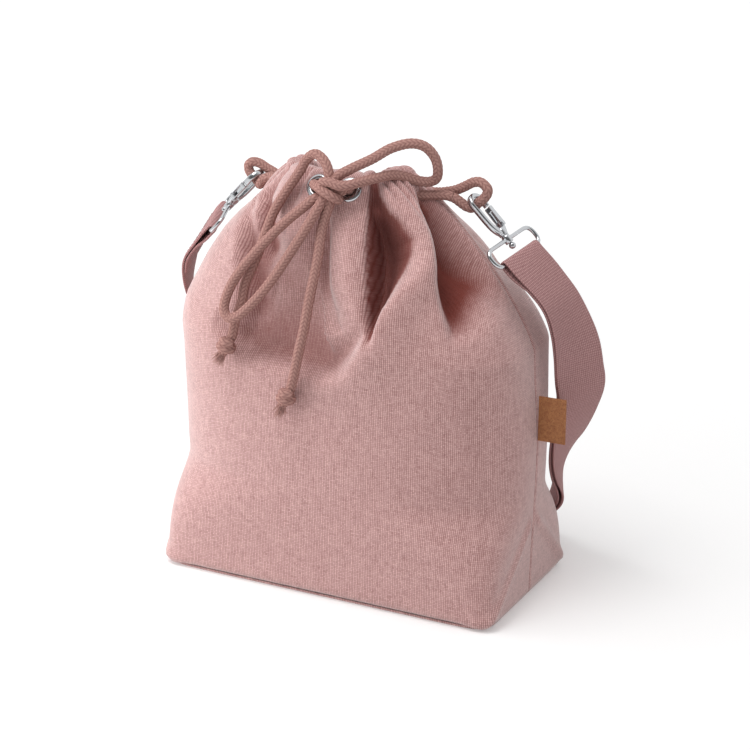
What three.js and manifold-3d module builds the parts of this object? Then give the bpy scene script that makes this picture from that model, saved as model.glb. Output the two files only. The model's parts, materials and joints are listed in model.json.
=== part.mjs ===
// Insulated drawstring lunch bag with a clip-on shoulder strap.
// Millimetres, +Z up. The origin is the centre of the base's underside. The front
// faces -Y, +X is the wearer's right, and the strap hangs behind the bag.
import * as THREE from 'three';
import { mergeVertices } from 'three/addons/utils/BufferGeometryUtils.js';
import Module from 'manifold-3d';

const wasm = await Module();
wasm.setup();

// Bag body: a rectangular base, a fuller belly, and a domed top gathered to the mouth
const BASE_WIDTH = 264;
const BASE_DEPTH = 139;
const BELLY_WIDTH = 270;
const BELLY_HEIGHT = 115;
const SHOULDER_WIDTH = 262;
const SHOULDER_DEPTH = 143;
const SHOULDER_HEIGHT = 182;
const MOUTH_WIDTH = 84;
const MOUTH_DEPTH = 62;
const RIM_HEIGHT = 298;
const DOME_RISE = 1.25;
const DOME_CLOSE = 1.25;
// The gathered mouth sits a little left of and in front of the base's centre
const MOUTH_SHIFT_X = -8;
const MOUTH_SHIFT_Y = -4;
// Exponents of the outline: a rounded rectangle that turns to a lens over the boxed corners
const CORNER_HEIGHT = 82;
const CORNER_EASE = 0.7;
const BASE_SQUARENESS = 16;
const BELLY_SQUARENESS = 2.7;
const SHOULDER_SQUARENESS = 3.3;
const MOUTH_SQUARENESS = 2.2;

// Wall: woven outer cloth, foam and a wipe-clean lining
const CLOTH = 1.2;
const FOAM = 3;
const LINING = 0.6;
const GAP = 0.3;

// Drawcord and the channel that it runs in round the mouth
const CORD_DIAMETER = 7;
const CORD_SIDES = 10;
const CORD_STEP = 14;
const CHANNEL_HEIGHT = 24;
const CHANNEL_WIDTH = 12;
const CHANNEL_RUN = 0.42;
const LOOP_EXIT_DROP = 14;
const LOOP_EXIT_Y = -1.5;
const LOOP_LEG_SPREAD = 5;
const CORD_HOLE_SLACK = 0.7;

// Eyelets in the front of the channel
const EYELET_SPACING = 23.6;
const EYELET_MIDDLE = -1.5;
const EYELET_DROP = 8.5;
const EYELET_RADIUS = 8.5;
const EYELET_BORE = 4.4;
const EYELET_BARREL = 5.5;
const EYELET_FLANGE = 1.1;
const EYELET_CLEARANCE = 0.4;
const EYELET_SEAT = 0.8;
const WASHER = 0.8;

// Side tab sewn into the right side seam
const TAB_WIDTH = 20;
const TAB_HEIGHT = 32;
const TAB_THICKNESS = 1.6;
const TAB_CENTRE_HEIGHT = 135;

// Swivel snap hooks: a J-shaped body, a sprung lever gate and a stud that turns in the ring
const SWIVEL_REACH = 109;
const SWIVEL_DROP = 40;
const HOOK_SLOPE = 45;
const HOOK_TWIST = 6;
const HOOK_THICKNESS = 4.6;
const HOOK_ARM = 3.6;
const EYE_WIDTH = 9;
const EYE_TOP = 31;
const HOOK_FOOT = 3.4;
const NOSE_END = 26.3;
const PIVOT_U = 5.6;
const PIVOT_V = 11.4;
const LUG_THICKNESS = 2.4;
const LUG_RADIUS = 1.5;
const GATE_CHEEK = 0.8;
const GATE_TOP = 25.7;
const PIN_RADIUS = 0.8;
const STUD_RADIUS = 1.3;
const STUD_BALL = 2.4;
const STUD_LENGTH = 7.2;
const SPRING_LEAF = 0.4;

// Strap rings, shoulder strap and its slider
const RING_WIRE = 3;
const RING_DROP = 14;
const RING_CORNER = 4.5;
const RING_BOSS = 3;
const RING_TWIST_RIGHT = 18;
const RING_TWIST_LEFT = 4;
const STRAP_WIDTH = 38;
const STRAP_THICKNESS = 1.6;
const STRAP_EDGE_GAP = 0.5;
const STRAP_LAYER_GAP = 0.7;
const STRAP_STEP = 14;
const STRAP_REST_CLEAR = 78;
const STRAP_REST_HEIGHT = 6.5;
const STRAP_FLAT = 60;
const STRAP_FACE_TURN = 32;
const SEWN_RETURN = 45;
const SLIDER_X = 15;
const SLIDER_LENGTH = 26;
const SLIDER_BAR = 2.4;
const SLIDER_BAR_HEIGHT = 2;
const SLIDER_RAIL = 2.4;
const SLIDER_CORE = 1;
const END_LOOP_TAIL = 30;
const RETURN_SETBACK = 16;

// Facets round a full turn of the bag, and rows up its walls
const WALL_FACETS = 40;
const ROUND_FACETS = 16;

const finish = (color, roughness, metalness = 0) =>
  new THREE.MeshStandardMaterial({ color, roughness, metalness });
const FINISHES = {
  cloth: finish(0xb98680, 0.95),
  foam: finish(0xe9e6e2, 0.9),
  lining: finish(0xc9ccd0, 0.35, 0.4),
  cord: finish(0xa8756c, 0.9),
  webbing: finish(0xa06d66, 0.85),
  nickel: finish(0xc8cacc, 0.22, 1),
  cork: finish(0xa9703c, 0.8),
};

const bag = new THREE.Group();
const vec = (x, y, z) => new THREE.Vector3(x, y, z);
const { lerp, degToRad } = THREE.MathUtils;
const ease = (t) => THREE.MathUtils.smoothstep(t, 0, 1);

function add(name, geometry, material) {
  const mesh = new THREE.Mesh(geometry, material);
  mesh.name = name;
  bag.add(mesh);
}

// Solid helpers
function signedVolume(position, index) {
  const corner = (i) => vec().fromBufferAttribute(position, index[i]);
  let volume = 0;
  for (let i = 0; i < index.length; i += 3) {
    volume += corner(i).dot(corner(i + 1).cross(corner(i + 2))) / 6;
  }
  return volume;
}

// Turns a closed geometry's faces outwards and merges its shared vertices.
function outward(source) {
  const plain = source.clone();
  plain.deleteAttribute('normal');
  plain.deleteAttribute('uv');
  const geometry = mergeVertices(plain, 1e-4);
  const index = Array.from(geometry.index.array);
  if (signedVolume(geometry.attributes.position, index) < 0) {
    index.reverse();
  }
  geometry.setIndex(index);
  geometry.computeVertexNormals();
  return geometry;
}

function toSolid(source) {
  const geometry = outward(source);
  return new wasm.Manifold(new wasm.Mesh({
    numProp: 3,
    vertProperties: new Float32Array(geometry.attributes.position.array),
    triVerts: new Uint32Array(geometry.index.array),
  }));
}

function toGeometry(solid) {
  const { vertProperties, triVerts } = solid.getMesh();
  const geometry = new THREE.BufferGeometry();
  geometry.setAttribute('position', new THREE.BufferAttribute(new Float32Array(vertProperties), 3));
  geometry.setIndex(Array.from(triVerts));
  geometry.computeVertexNormals();
  return geometry;
}

const cut = (body, ...tools) =>
  toGeometry(tools.reduce((solid, tool) => solid.subtract(toSolid(tool)), toSolid(body)));
const join = (first, ...rest) =>
  toGeometry(rest.reduce((solid, piece) => solid.add(toSolid(piece)), toSolid(first)));

// Sweeps closed loops of points into a solid. A loop pairs its point i with the point
// facing it across the section, so the open ends are closed with a ladder of quads. The
// quads of both halves of a loop fold the same way, so walls nested in each other stay apart.
function sweep(loops, closed = false) {
  const size = loops[0].length;
  const index = [];
  const quad = (a, b, c, d) => index.push(a, b, c, a, c, d);
  const spans = closed ? loops.length : loops.length - 1;
  for (let k = 0; k < spans; k += 1) {
    const here = k * size;
    const there = ((k + 1) % loops.length) * size;
    for (let i = 0; i < size; i += 1) {
      const j = (i + 1) % size;
      if (i < size / 2) {
        quad(here + i, here + j, there + j, there + i);
      } else {
        quad(here + j, there + j, there + i, here + i);
      }
    }
  }
  if (!closed) {
    const last = (loops.length - 1) * size;
    for (let i = 0; i < size / 2 - 1; i += 1) {
      const far = size - 1 - i;
      quad(i, far, far - 1, i + 1);
      quad(last + i, last + i + 1, last + far - 1, last + far);
    }
  }
  const points = loops.flat().flatMap((p) => [p.x, p.y, p.z]);
  const geometry = new THREE.BufferGeometry();
  geometry.setAttribute('position', new THREE.Float32BufferAttribute(points, 3));
  geometry.setIndex(index);
  return outward(geometry);
}

const turned = (profile, facets = ROUND_FACETS) =>
  outward(new THREE.LatheGeometry(profile.map(([r, h]) => new THREE.Vector2(r, h)), facets));

// A block given by its lowest and highest corners
function block(low, high) {
  const size = high.clone().sub(low);
  const geometry = outward(new THREE.BoxGeometry(size.x, size.y, size.z));
  return geometry.translate(...low.clone().add(high).multiplyScalar(0.5).toArray());
}

// The matrix of a frame with its origin and its local X, Y and Z directions
const frameMatrix = (origin, x, y, z) =>
  new THREE.Matrix4().makeBasis(x, y, z).setPosition(origin);

// Bag shape: at each height a superellipse with its own centre, half sizes and exponent
function section(z) {
  const rise = ease(z / BELLY_HEIGHT);
  const taper = ease((z - BELLY_HEIGHT) / (SHOULDER_HEIGHT - BELLY_HEIGHT));
  const corner = ease(z / CORNER_HEIGHT) ** CORNER_EASE;
  const t = THREE.MathUtils.clamp((z - SHOULDER_HEIGHT) / (RIM_HEIGHT - SHOULDER_HEIGHT), 0, 1);
  const gather = 1 - (1 - t ** DOME_RISE) ** (1 / DOME_CLOSE);
  const width = lerp(lerp(BASE_WIDTH, BELLY_WIDTH, rise), SHOULDER_WIDTH, taper);
  const depth = lerp(BASE_DEPTH, SHOULDER_DEPTH, ease(z / SHOULDER_HEIGHT));
  const square = lerp(lerp(BASE_SQUARENESS, BELLY_SQUARENESS, corner), SHOULDER_SQUARENESS, taper);
  return {
    cx: MOUTH_SHIFT_X * gather,
    cy: MOUTH_SHIFT_Y * gather,
    a: lerp(width, MOUTH_WIDTH, gather) / 2,
    b: lerp(depth, MOUTH_DEPTH, gather) / 2,
    n: lerp(square, MOUTH_SQUARENESS, gather),
  };
}

// A point of the wall at a height and a turn round the bag, set in from the outer cloth
function wallPoint(z, turn, inset = 0) {
  const { cx, cy, a, b, n } = section(z);
  const power = (value) => Math.sign(value) * Math.abs(value) ** (2 / n);
  return vec(cx + (a - inset) * power(Math.cos(turn)), cy + (b - inset) * power(Math.sin(turn)), z);
}

// The outer cloth's front at a place across the bag
function frontPoint(x, z) {
  const { cx, cy, a, b, n } = section(z);
  return vec(x, cy - b * (1 - Math.abs((x - cx) / a) ** n) ** (1 / n), z);
}

function frontNormal(x, z) {
  const across = frontPoint(x + 1, z).sub(frontPoint(x - 1, z));
  const up = frontPoint(x, z + 1).sub(frontPoint(x, z - 1));
  return across.cross(up).normalize();
}

function turns(from, to, count) {
  return Array.from({ length: count + 1 }, (_, i) => lerp(from, to, i / count));
}

// Rows up a wall, closer where the outline changes most, and at the hem's edges so that the
// layers that end there share their facets
const channelFloor = RIM_HEIGHT - CHANNEL_HEIGHT;
const wallTop = channelFloor - GAP;
const hemEdges = [wallTop, channelFloor, channelFloor + CLOTH, RIM_HEIGHT - CLOTH];
const wallMarks = [0.07, 0.14, 0.21, 0.29, 0.45, 0.61, 0.7, 0.79, 0.87, 0.94, 0.98].map((m) => m * RIM_HEIGHT);
function wallRows(low, high) {
  const between = [...wallMarks, ...hemEdges].filter((z) => z > low + 0.1 && z < high - 0.1);
  return [low, ...between.sort((first, second) => first - second), high];
}

// A loop up the outside of a wall and down its inside, at one turn round the bag
function wallLoop(turn, rows, inset, thickness) {
  const outside = rows.map((z) => wallPoint(z, turn, inset));
  const inside = rows.map((z) => wallPoint(z, turn, inset + thickness)).reverse();
  return [...outside, ...inside];
}

function wallTube(low, high, inset, thickness) {
  const around = turns(0, 2 * Math.PI, WALL_FACETS).slice(0, -1);
  const rows = wallRows(low, high);
  return sweep(around.map((turn) => wallLoop(turn, rows, inset, thickness)), true);
}

// A plate of the base's outline
function basePlate(low, thickness, inset) {
  const outline = turns(0, 2 * Math.PI, WALL_FACETS).slice(0, -1)
    .map((turn) => wallPoint(0, turn, inset))
    .map((p) => new THREE.Vector2(p.x, p.y));
  const plate = new THREE.ExtrudeGeometry(new THREE.Shape(outline), { depth: thickness, bevelEnabled: false });
  return outward(plate.translate(0, 0, low));
}

// Outer cloth: two panels joined at the side seams, standing on the base panel
const runHeight = channelFloor + CHANNEL_RUN * CHANNEL_HEIGHT;
const wallFoot = CLOTH + GAP;
const eyeletHeight = RIM_HEIGHT - EYELET_DROP;
const loopExitHeight = RIM_HEIGHT - LOOP_EXIT_DROP;
const exitHole = CORD_DIAMETER / 2 + CORD_HOLE_SLACK;
const exitReach = LOOP_LEG_SPREAD + exitHole;

const eyeletPlaces = [['left', -1], ['right', 1]].map(([side, sign]) => {
  const x = EYELET_MIDDLE + sign * EYELET_SPACING / 2;
  const seat = frontPoint(x, eyeletHeight);
  const normal = frontNormal(x, eyeletHeight);
  const across = vec(0, 0, 1).cross(normal).normalize();
  const matrix = frameMatrix(seat, across, normal, across.clone().cross(normal));
  return { side, seat, normal, matrix };
});

function outerPanel(from, to, seamShift) {
  const rows = wallRows(wallFoot, RIM_HEIGHT);
  const loops = turns(from, to, WALL_FACETS / 2).map((turn) => wallLoop(turn, rows, 0, CLOTH));
  return sweep(loops).translate(0, seamShift, 0);
}

// The opening in each side seam where the cord comes out as a loop
const sideExits = block(
  vec(-BELLY_WIDTH, LOOP_EXIT_Y - exitReach, loopExitHeight - exitHole),
  vec(BELLY_WIDTH, LOOP_EXIT_Y + exitReach, loopExitHeight + exitHole),
);
const eyeletHoles = eyeletPlaces.map(({ matrix }) => {
  const radius = EYELET_BARREL + EYELET_CLEARANCE;
  return turned([[0, -8], [radius, -8], [radius, 8], [0, 8]]).applyMatrix4(matrix);
});
add('front_panel', cut(outerPanel(Math.PI, 2 * Math.PI, -GAP / 2), sideExits, ...eyeletHoles), FINISHES.cloth);
add('back_panel', cut(outerPanel(0, Math.PI, GAP / 2), sideExits), FINISHES.cloth);
add('base_panel', basePlate(0, CLOTH, 0), FINISHES.cloth);

// Foam and lining, each a base plate with a wall standing on it
const foamInset = CLOTH + GAP;
const foamTop = wallFoot + FOAM;
const liningInset = foamInset + FOAM + GAP;
const liningBase = foamTop + GAP;
add('insulation_base', basePlate(wallFoot, FOAM, foamInset), FINISHES.foam);
add('insulation_wall', wallTube(foamTop + GAP, wallTop, foamInset, FOAM), FINISHES.foam);
add('lining_base', basePlate(liningBase, LINING, liningInset + GAP), FINISHES.lining);
add('lining_wall', wallTube(liningBase + LINING + GAP, wallTop, liningInset, LINING), FINISHES.lining);

// Mouth facing: each panel's folded hem, which closes the cord channel on its inside
const facingOuter = CLOTH + GAP;
const facingWall = facingOuter + CHANNEL_WIDTH;
const facingInner = facingWall + CLOTH;
const facingProfile = [
  [facingOuter, channelFloor], [facingInner, channelFloor],
  [facingInner, RIM_HEIGHT], [facingOuter, RIM_HEIGHT],
  [facingOuter, RIM_HEIGHT - CLOTH], [facingWall, RIM_HEIGHT - CLOTH],
  [facingWall, channelFloor + CLOTH], [facingOuter, channelFloor + CLOTH],
];
function mouthFacing(from, to, seamShift) {
  const loops = turns(from, to, WALL_FACETS / 2)
    .map((turn) => facingProfile.map(([inset, z]) => wallPoint(z, turn, inset)));
  return sweep(loops).translate(0, seamShift, 0);
}
add('mouth_facing_front', mouthFacing(Math.PI, 2 * Math.PI, -GAP / 2), FINISHES.cloth);
add('mouth_facing_back', mouthFacing(0, Math.PI, GAP / 2), FINISHES.cloth);

// Eyelets: a flanged barrel from outside and a washer clinched behind the cloth
for (const { side, matrix } of eyeletPlaces) {
  const washerFace = -CLOTH - EYELET_SEAT - GAP;
  const barrelEnd = washerFace - WASHER - GAP;
  const flangeFace = EYELET_SEAT + EYELET_FLANGE;
  const grommet = turned([
    [EYELET_BORE, barrelEnd], [EYELET_BARREL, barrelEnd], [EYELET_BARREL, EYELET_SEAT], [EYELET_RADIUS, EYELET_SEAT],
    [EYELET_RADIUS - 0.6, flangeFace], [EYELET_BORE + 0.5, flangeFace],
    [EYELET_BORE, EYELET_SEAT], [EYELET_BORE, barrelEnd],
  ]);
  const inner = EYELET_BARREL + GAP;
  const washer = turned([
    [inner, washerFace - WASHER], [EYELET_RADIUS, washerFace - WASHER],
    [EYELET_RADIUS, washerFace], [inner, washerFace], [inner, washerFace - WASHER],
  ]);
  add(`eyelet_${side}`, grommet.applyMatrix4(matrix), FINISHES.nickel);
  add(`eyelet_washer_${side}`, washer.applyMatrix4(matrix), FINISHES.nickel);
}

// Drawcord: a tube along a smooth curve through hand-set points
const cordSection = new THREE.Shape(
  new THREE.EllipseCurve(0, 0, CORD_DIAMETER / 2, CORD_DIAMETER / 2).getPoints(CORD_SIDES).slice(0, -1),
);

function cordTube(points, step = CORD_STEP) {
  const path = new THREE.CatmullRomCurve3(points, false, 'centripetal');
  const steps = Math.max(2, Math.round(path.getLength() / step));
  return outward(new THREE.ExtrudeGeometry(cordSection, { steps, extrudePath: path, bevelEnabled: false }));
}

const route = (rows) => rows.map((row) => vec(...row));

// The runs inside the channel, from the side loops' legs to the eyelets and round the back
const channelInset = CLOTH + GAP + CHANNEL_WIDTH / 2;
const runClearance = CORD_DIAMETER + GAP + 1;
const runSection = section(runHeight);

// The turn round the channel, on its front or its back half, of a place across or along the bag
const shareTurn = (value, half) => Math.sign(value) * Math.abs(value / half) ** (runSection.n / 2);
const turnAcross = (x) => 2 * Math.PI - Math.acos(shareTurn(x - runSection.cx, runSection.a - channelInset));
const turnAlong = (y) => Math.asin(shareTurn(y - runSection.cy, runSection.b - channelInset));

function channelRun(from, to) {
  const points = turns(from, to, 14).map((turn) => wallPoint(runHeight, turn, channelInset));
  return cordTube(points, CORD_DIAMETER);
}
const backLegTurn = turnAlong(LOOP_EXIT_Y + LOOP_LEG_SPREAD + runClearance);
const frontLegTurn = turnAlong(LOOP_EXIT_Y - LOOP_LEG_SPREAD - runClearance);
const leftLaceTurn = turnAcross(EYELET_MIDDLE - EYELET_SPACING / 2 - runClearance);
const rightLaceTurn = turnAcross(EYELET_MIDDLE + EYELET_SPACING / 2 + runClearance);
add('drawcord_run_back', channelRun(backLegTurn, Math.PI - backLegTurn), FINISHES.cord);
add('drawcord_run_left', channelRun(Math.PI - frontLegTurn, leftLaceTurn), FINISHES.cord);
add('drawcord_run_right', channelRun(rightLaceTurn, 2 * Math.PI + frontLegTurn), FINISHES.cord);

// The cord's loops outside the bag, one through each hook's eye
add('side_loop_right', cordTube(route([
  [46, 3.5, 284], [59, 3.5, 284.3], [68, 3.4, 286.5], [76, 2.8, 290.3], [83, 1.6, 294], [89, 0.5, 294.5],
  [94, 0, 290], [92.3, 0, 285.3], [87.2, 0, 280.6], [82.3, 0, 276], [77, -2, 275], [71, -4.5, 277.8],
  [63, -6.2, 282.5], [56, -6.5, 284], [46, -6.5, 284],
]), CORD_DIAMETER), FINISHES.cord);
add('side_loop_left', cordTube(route([
  [-58, 3.5, 284], [-71, 3.5, 284.3], [-79, 3.4, 288.8], [-85, 2, 292.8], [-90.5, 0.5, 293.5], [-94.5, 0, 290],
  [-92.3, 0, 285.3], [-87.2, 0, 280.6], [-83.8, -0.3, 277.2], [-81.6, -2.4, 276.6], [-79.2, -4.8, 278.4],
  [-75.2, -6.2, 282.4], [-69, -6.5, 284], [-58, -6.5, 284],
]), CORD_DIAMETER), FINISHES.cord);

// The laces out of the eyelets and the bow that they tie in front of them
const [leftEyelet, rightEyelet] = eyeletPlaces;
const alongEyelet = ({ seat, normal }, reach) => seat.clone().addScaledVector(normal, reach);
add('lace_left', cordTube([
  alongEyelet(leftEyelet, -5), alongEyelet(leftEyelet, 4), vec(-11.8, -46.6, 292.4), vec(-8.4, -49.4, 292.6),
], CORD_DIAMETER / 2), FINISHES.cord);
add('lace_right', cordTube([
  alongEyelet(rightEyelet, -5), alongEyelet(rightEyelet, 3.5), vec(12.2, -45.6, 290), vec(10.9, -48.4, 289.8),
], CORD_DIAMETER / 2), FINISHES.cord);

const KNOT_CENTRE = vec(2, -52, 292.5);
const KNOT_RADII = vec(7.5, 6.5, 8);
const knot = new THREE.SphereGeometry(1, ROUND_FACETS, 10);
knot.scale(...KNOT_RADII.toArray()).translate(...KNOT_CENTRE.toArray());
add('bow_knot', outward(knot), FINISHES.cord);

add('bow_loop_left', cordTube(route([
  [-4.1, -55.7, 288.4], [-14.2, -58.8, 279.7], [-26.7, -62.6, 268.2], [-39.4, -66.8, 254.5],
  [-53.4, -70.8, 237.6], [-62.1, -74.4, 223.9], [-66.3, -77.8, 210.7], [-65.3, -80, 204.5], [-61, -81, 201.2],
  [-55, -81, 203], [-42, -77.8, 215.5], [-31.5, -72.4, 230], [-22.1, -67.2, 246], [-12.5, -63.7, 262],
  [-4.5, -61.7, 275], [-1.4, -60.6, 282.8],
])), FINISHES.cord);
add('bow_loop_right', cordTube(route([
  [7, -49.4, 300], [14.4, -45, 305.2], [26, -37, 311.5], [36.8, -29, 318.5], [48, -22, 321.3], [55.5, -17, 318.8],
  [60.9, -13, 311.1], [62.2, -11, 302.5], [60.3, -9.5, 296.5], [55.4, -9.6, 293.8], [48.9, -14, 294.6],
  [40.3, -21, 298.4], [35.4, -26, 299.5], [29.2, -36, 298.8], [22.4, -46, 297.4], [17, -53, 296.2],
  [11.2, -55.4, 294.6],
])), FINISHES.cord);
add('bow_tail_left', cordTube(route([
  [0.3, -50.7, 300.9], [-3.6, -48, 308.7], [-12.5, -45.5, 312.8], [-20, -44.5, 307.8], [-23.4, -44.5, 302],
  [-28.5, -44.5, 294.8], [-34, -46, 286.5], [-41.8, -50.2, 272], [-45.7, -56.2, 257], [-50.5, -62.2, 239],
  [-56.3, -66.6, 223], [-57.5, -70, 210], [-61, -72.6, 198.7], [-62.8, -74.6, 186],
])), FINISHES.cord);
add('bow_tail_right', cordTube(route([
  [2.8, -53.2, 283.6], [-0.2, -54.4, 273], [-1.7, -55.6, 266.7], [-2.2, -63.2, 242], [-4.1, -68.8, 223],
  [-6.6, -74.6, 197.6], [-9.5, -76.4, 183], [-12, -77, 170.5], [-15.2, -77.2, 157],
])), FINISHES.cord);

// Overhand knots at the tails' ends, with a short frayed tip past each
function tailKnot(from, to) {
  const axis = vec(...to).sub(vec(...from));
  const length = axis.length();
  const profile = [
    [0, 0], [3.2, 0], [5.4, 0.2 * length], [6.2, 0.38 * length], [5.4, 0.56 * length],
    [3.6, 0.68 * length], [4.1, length], [0, length],
  ];
  const rotation = new THREE.Quaternion().setFromUnitVectors(vec(0, 1, 0), axis.normalize());
  return turned(profile, CORD_SIDES).applyQuaternion(rotation).translate(...from);
}
add('tail_knot_left', tailKnot([-63.6, -75.6, 184.6], [-73.6, -77.2, 167.6]), FINISHES.cord);
add('tail_knot_right', tailKnot([-15.8, -78.2, 155.6], [-26.8, -79.4, 133.2]), FINISHES.cord);

// Side tab: a doubled strip of cork cloth standing out from the right side seam
const tabFoot = TAB_CENTRE_HEIGHT - TAB_HEIGHT / 2;
const tabTop = TAB_CENTRE_HEIGHT + TAB_HEIGHT / 2;
const seamX = Math.max(...turns(tabFoot, tabTop, 8).map((z) => wallPoint(z, 0).x)) + GAP;
add('side_tab', block(
  vec(seamX, -TAB_THICKNESS / 2, tabFoot),
  vec(seamX + TAB_WIDTH, TAB_THICKNESS / 2, tabTop),
), FINISHES.cork);

// Each strap end in its own axes: U across the hook, V from the ring to the tip, N through it
function strapEndFrame(sign, twist) {
  const slope = degToRad(HOOK_SLOPE);
  const v = vec(-sign * Math.cos(slope), 0, Math.sin(slope));
  const plain = vec(0, sign, 0);
  const u = plain.applyAxisAngle(v, -degToRad(twist));
  const origin = vec(sign * SWIVEL_REACH, 0, RIM_HEIGHT - SWIVEL_DROP);
  const n = u.clone().cross(v);
  return { origin, u, v, n, matrix: frameMatrix(origin, u, v, n) };
}

function plate(shape, thickness) {
  const geometry = new THREE.ExtrudeGeometry(shape, { depth: thickness, bevelEnabled: false, curveSegments: 8 });
  return geometry.translate(0, 0, -thickness / 2);
}

// A rod along N at a place across the hook
const crossRod = (radius, length, u, v) =>
  new THREE.CylinderGeometry(radius, radius, length, ROUND_FACETS).rotateX(Math.PI / 2).translate(u, v, 0);

function hookBody() {
  const middle = (EYE_WIDTH + HOOK_ARM) / 2;
  const outer = middle + HOOK_ARM / 2;
  const inner = EYE_WIDTH / 2;
  const shape = new THREE.Shape();
  shape.moveTo(-outer, HOOK_FOOT);
  shape.lineTo(-outer, EYE_TOP);
  shape.absarc(0, EYE_TOP, outer, Math.PI, 0, true);
  shape.lineTo(outer, NOSE_END);
  shape.lineTo(inner, NOSE_END);
  shape.lineTo(inner, EYE_TOP);
  shape.absarc(0, EYE_TOP, inner, 0, Math.PI, false);
  shape.lineTo(-inner, PIVOT_V);
  shape.lineTo(PIVOT_U - 3.4, PIVOT_V - 3.1);
  shape.lineTo(PIVOT_U - 2.2, PIVOT_V - 3.8);
  shape.lineTo(PIVOT_U - 2.2, HOOK_FOOT);
  const lugFoot = block(
    vec(PIVOT_U - 4.6, HOOK_FOOT + 1, -LUG_THICKNESS / 2),
    vec(PIVOT_U + LUG_RADIUS, PIVOT_V, LUG_THICKNESS / 2),
  );
  const lugEye = crossRod(LUG_RADIUS, LUG_THICKNESS, PIVOT_U, PIVOT_V);
  const boreRadius = STUD_RADIUS + GAP;
  const studBore = turned([[0, 0], [boreRadius, 0], [boreRadius, STUD_LENGTH + GAP], [0, STUD_LENGTH + GAP]]);
  const pinBore = crossRod(PIN_RADIUS + GAP, 2 * HOOK_THICKNESS, PIVOT_U, PIVOT_V);
  return cut(join(plate(shape, HOOK_THICKNESS), lugFoot, lugEye), studBore, pinBore);
}

// The gate is a folded channel that straddles the lug and shuts against the nose
const GATE_INSIDE = PIVOT_U - 1.9;
const GATE_WEB = PIVOT_U + LUG_RADIUS + GAP;
function gateLever() {
  const half = HOOK_THICKNESS / 2;
  const foot = PIVOT_V - 2.1;
  const slab = block(vec(GATE_INSIDE, foot, -half), vec(GATE_WEB + GATE_CHEEK, GATE_TOP, half));
  const hollow = block(
    vec(GATE_INSIDE - 1, foot - 1, -half + GATE_CHEEK),
    vec(GATE_WEB, GATE_TOP - GATE_CHEEK, half - GATE_CHEEK),
  );
  return cut(slab, hollow, crossRod(PIN_RADIUS + GAP, 2 * HOOK_THICKNESS, PIVOT_U, PIVOT_V));
}

function gatePin() {
  const head = HOOK_THICKNESS / 2 + GAP;
  const end = head + 0.5;
  const wide = PIN_RADIUS + 0.6;
  const half = [[PIN_RADIUS, 0], [PIN_RADIUS, head], [wide, head], [wide, end], [0, end]];
  const mirrored = half.map(([r, h]) => [r, -h]).reverse().slice(0, -1);
  return turned([...mirrored, ...half], 12).rotateX(Math.PI / 2).translate(PIVOT_U, PIVOT_V, 0);
}

// The leaf that shuts the gate stands on the lug and leans on the inside of the web
function gateSpring() {
  const foot = PIVOT_V + LUG_RADIUS + GAP;
  const reach = GATE_WEB - PIVOT_U - GAP - SPRING_LEAF;
  const top = GATE_TOP - 4;
  const half = LUG_THICKNESS / 2 - 0.2;
  const edge = (u, v) => [vec(u, v, -half), vec(u + SPRING_LEAF, v, -half), vec(u + SPRING_LEAF, v, half), vec(u, v, half)];
  return sweep([edge(PIVOT_U - 0.2, foot), edge(PIVOT_U + reach * 0.6, (foot + top) / 2), edge(PIVOT_U + reach, top)]);
}

function swivelStud() {
  const seat = -RING_BOSS - GAP;
  const ball = turns(-Math.PI / 2, 1, 6).map((t) => [STUD_BALL * Math.cos(t), seat - STUD_BALL * 0.85 + STUD_BALL * Math.sin(t)]);
  ball[0][0] = 0;
  return turned([...ball, [STUD_RADIUS, seat], [STUD_RADIUS, STUD_LENGTH], [0, STUD_LENGTH]], 12);
}

// The ring is a wire loop with a bored boss on its top bar for the stud
function strapRing() {
  const halfWidth = STRAP_WIDTH / 2 + STRAP_EDGE_GAP + RING_CORNER;
  const corners = [
    [halfWidth - RING_CORNER, -RING_CORNER, 0], [-halfWidth + RING_CORNER, -RING_CORNER, 90],
    [-halfWidth + RING_CORNER, -RING_DROP + RING_CORNER, 180], [halfWidth - RING_CORNER, -RING_DROP + RING_CORNER, 270],
  ];
  const loops = corners.flatMap(([u, v, start]) => turns(start, start + 90, 4).map((degrees) => {
    const heading = degToRad(degrees);
    const out = vec(Math.cos(heading), Math.sin(heading), 0);
    const centre = vec(u, v, 0).addScaledVector(out, RING_CORNER);
    return turns(0, 2 * Math.PI, 8).slice(0, -1).map((t) => centre.clone()
      .addScaledVector(out, Math.cos(t) * RING_WIRE / 2)
      .add(vec(0, 0, Math.sin(t) * RING_WIRE / 2)));
  }));
  const boss = turned([[0, -RING_BOSS], [RING_BOSS, -RING_BOSS], [RING_BOSS, RING_BOSS], [0, RING_BOSS]]);
  const bore = STUD_RADIUS + GAP;
  const hole = turned([[0, -2 * RING_BOSS], [bore, -2 * RING_BOSS], [bore, 2 * RING_BOSS], [0, 2 * RING_BOSS]]);
  return cut(join(sweep(loops, true), boss), hole);
}

const sides = { right: { sign: 1, twist: RING_TWIST_RIGHT }, left: { sign: -1, twist: RING_TWIST_LEFT } };
for (const [side, place] of Object.entries(sides)) {
  const hook = strapEndFrame(place.sign, HOOK_TWIST).matrix;
  place.ring = strapEndFrame(place.sign, place.twist);
  add(`hook_body_${side}`, hookBody().applyMatrix4(hook), FINISHES.nickel);
  add(`hook_gate_${side}`, gateLever().applyMatrix4(hook), FINISHES.nickel);
  add(`gate_pin_${side}`, gatePin().applyMatrix4(hook), FINISHES.nickel);
  add(`gate_spring_${side}`, gateSpring().applyMatrix4(hook), FINISHES.nickel);
  add(`swivel_stud_${side}`, swivelStud().applyMatrix4(hook), FINISHES.nickel);
  add(`strap_ring_${side}`, strapRing().applyMatrix4(place.ring.matrix), FINISHES.nickel);
}

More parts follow.
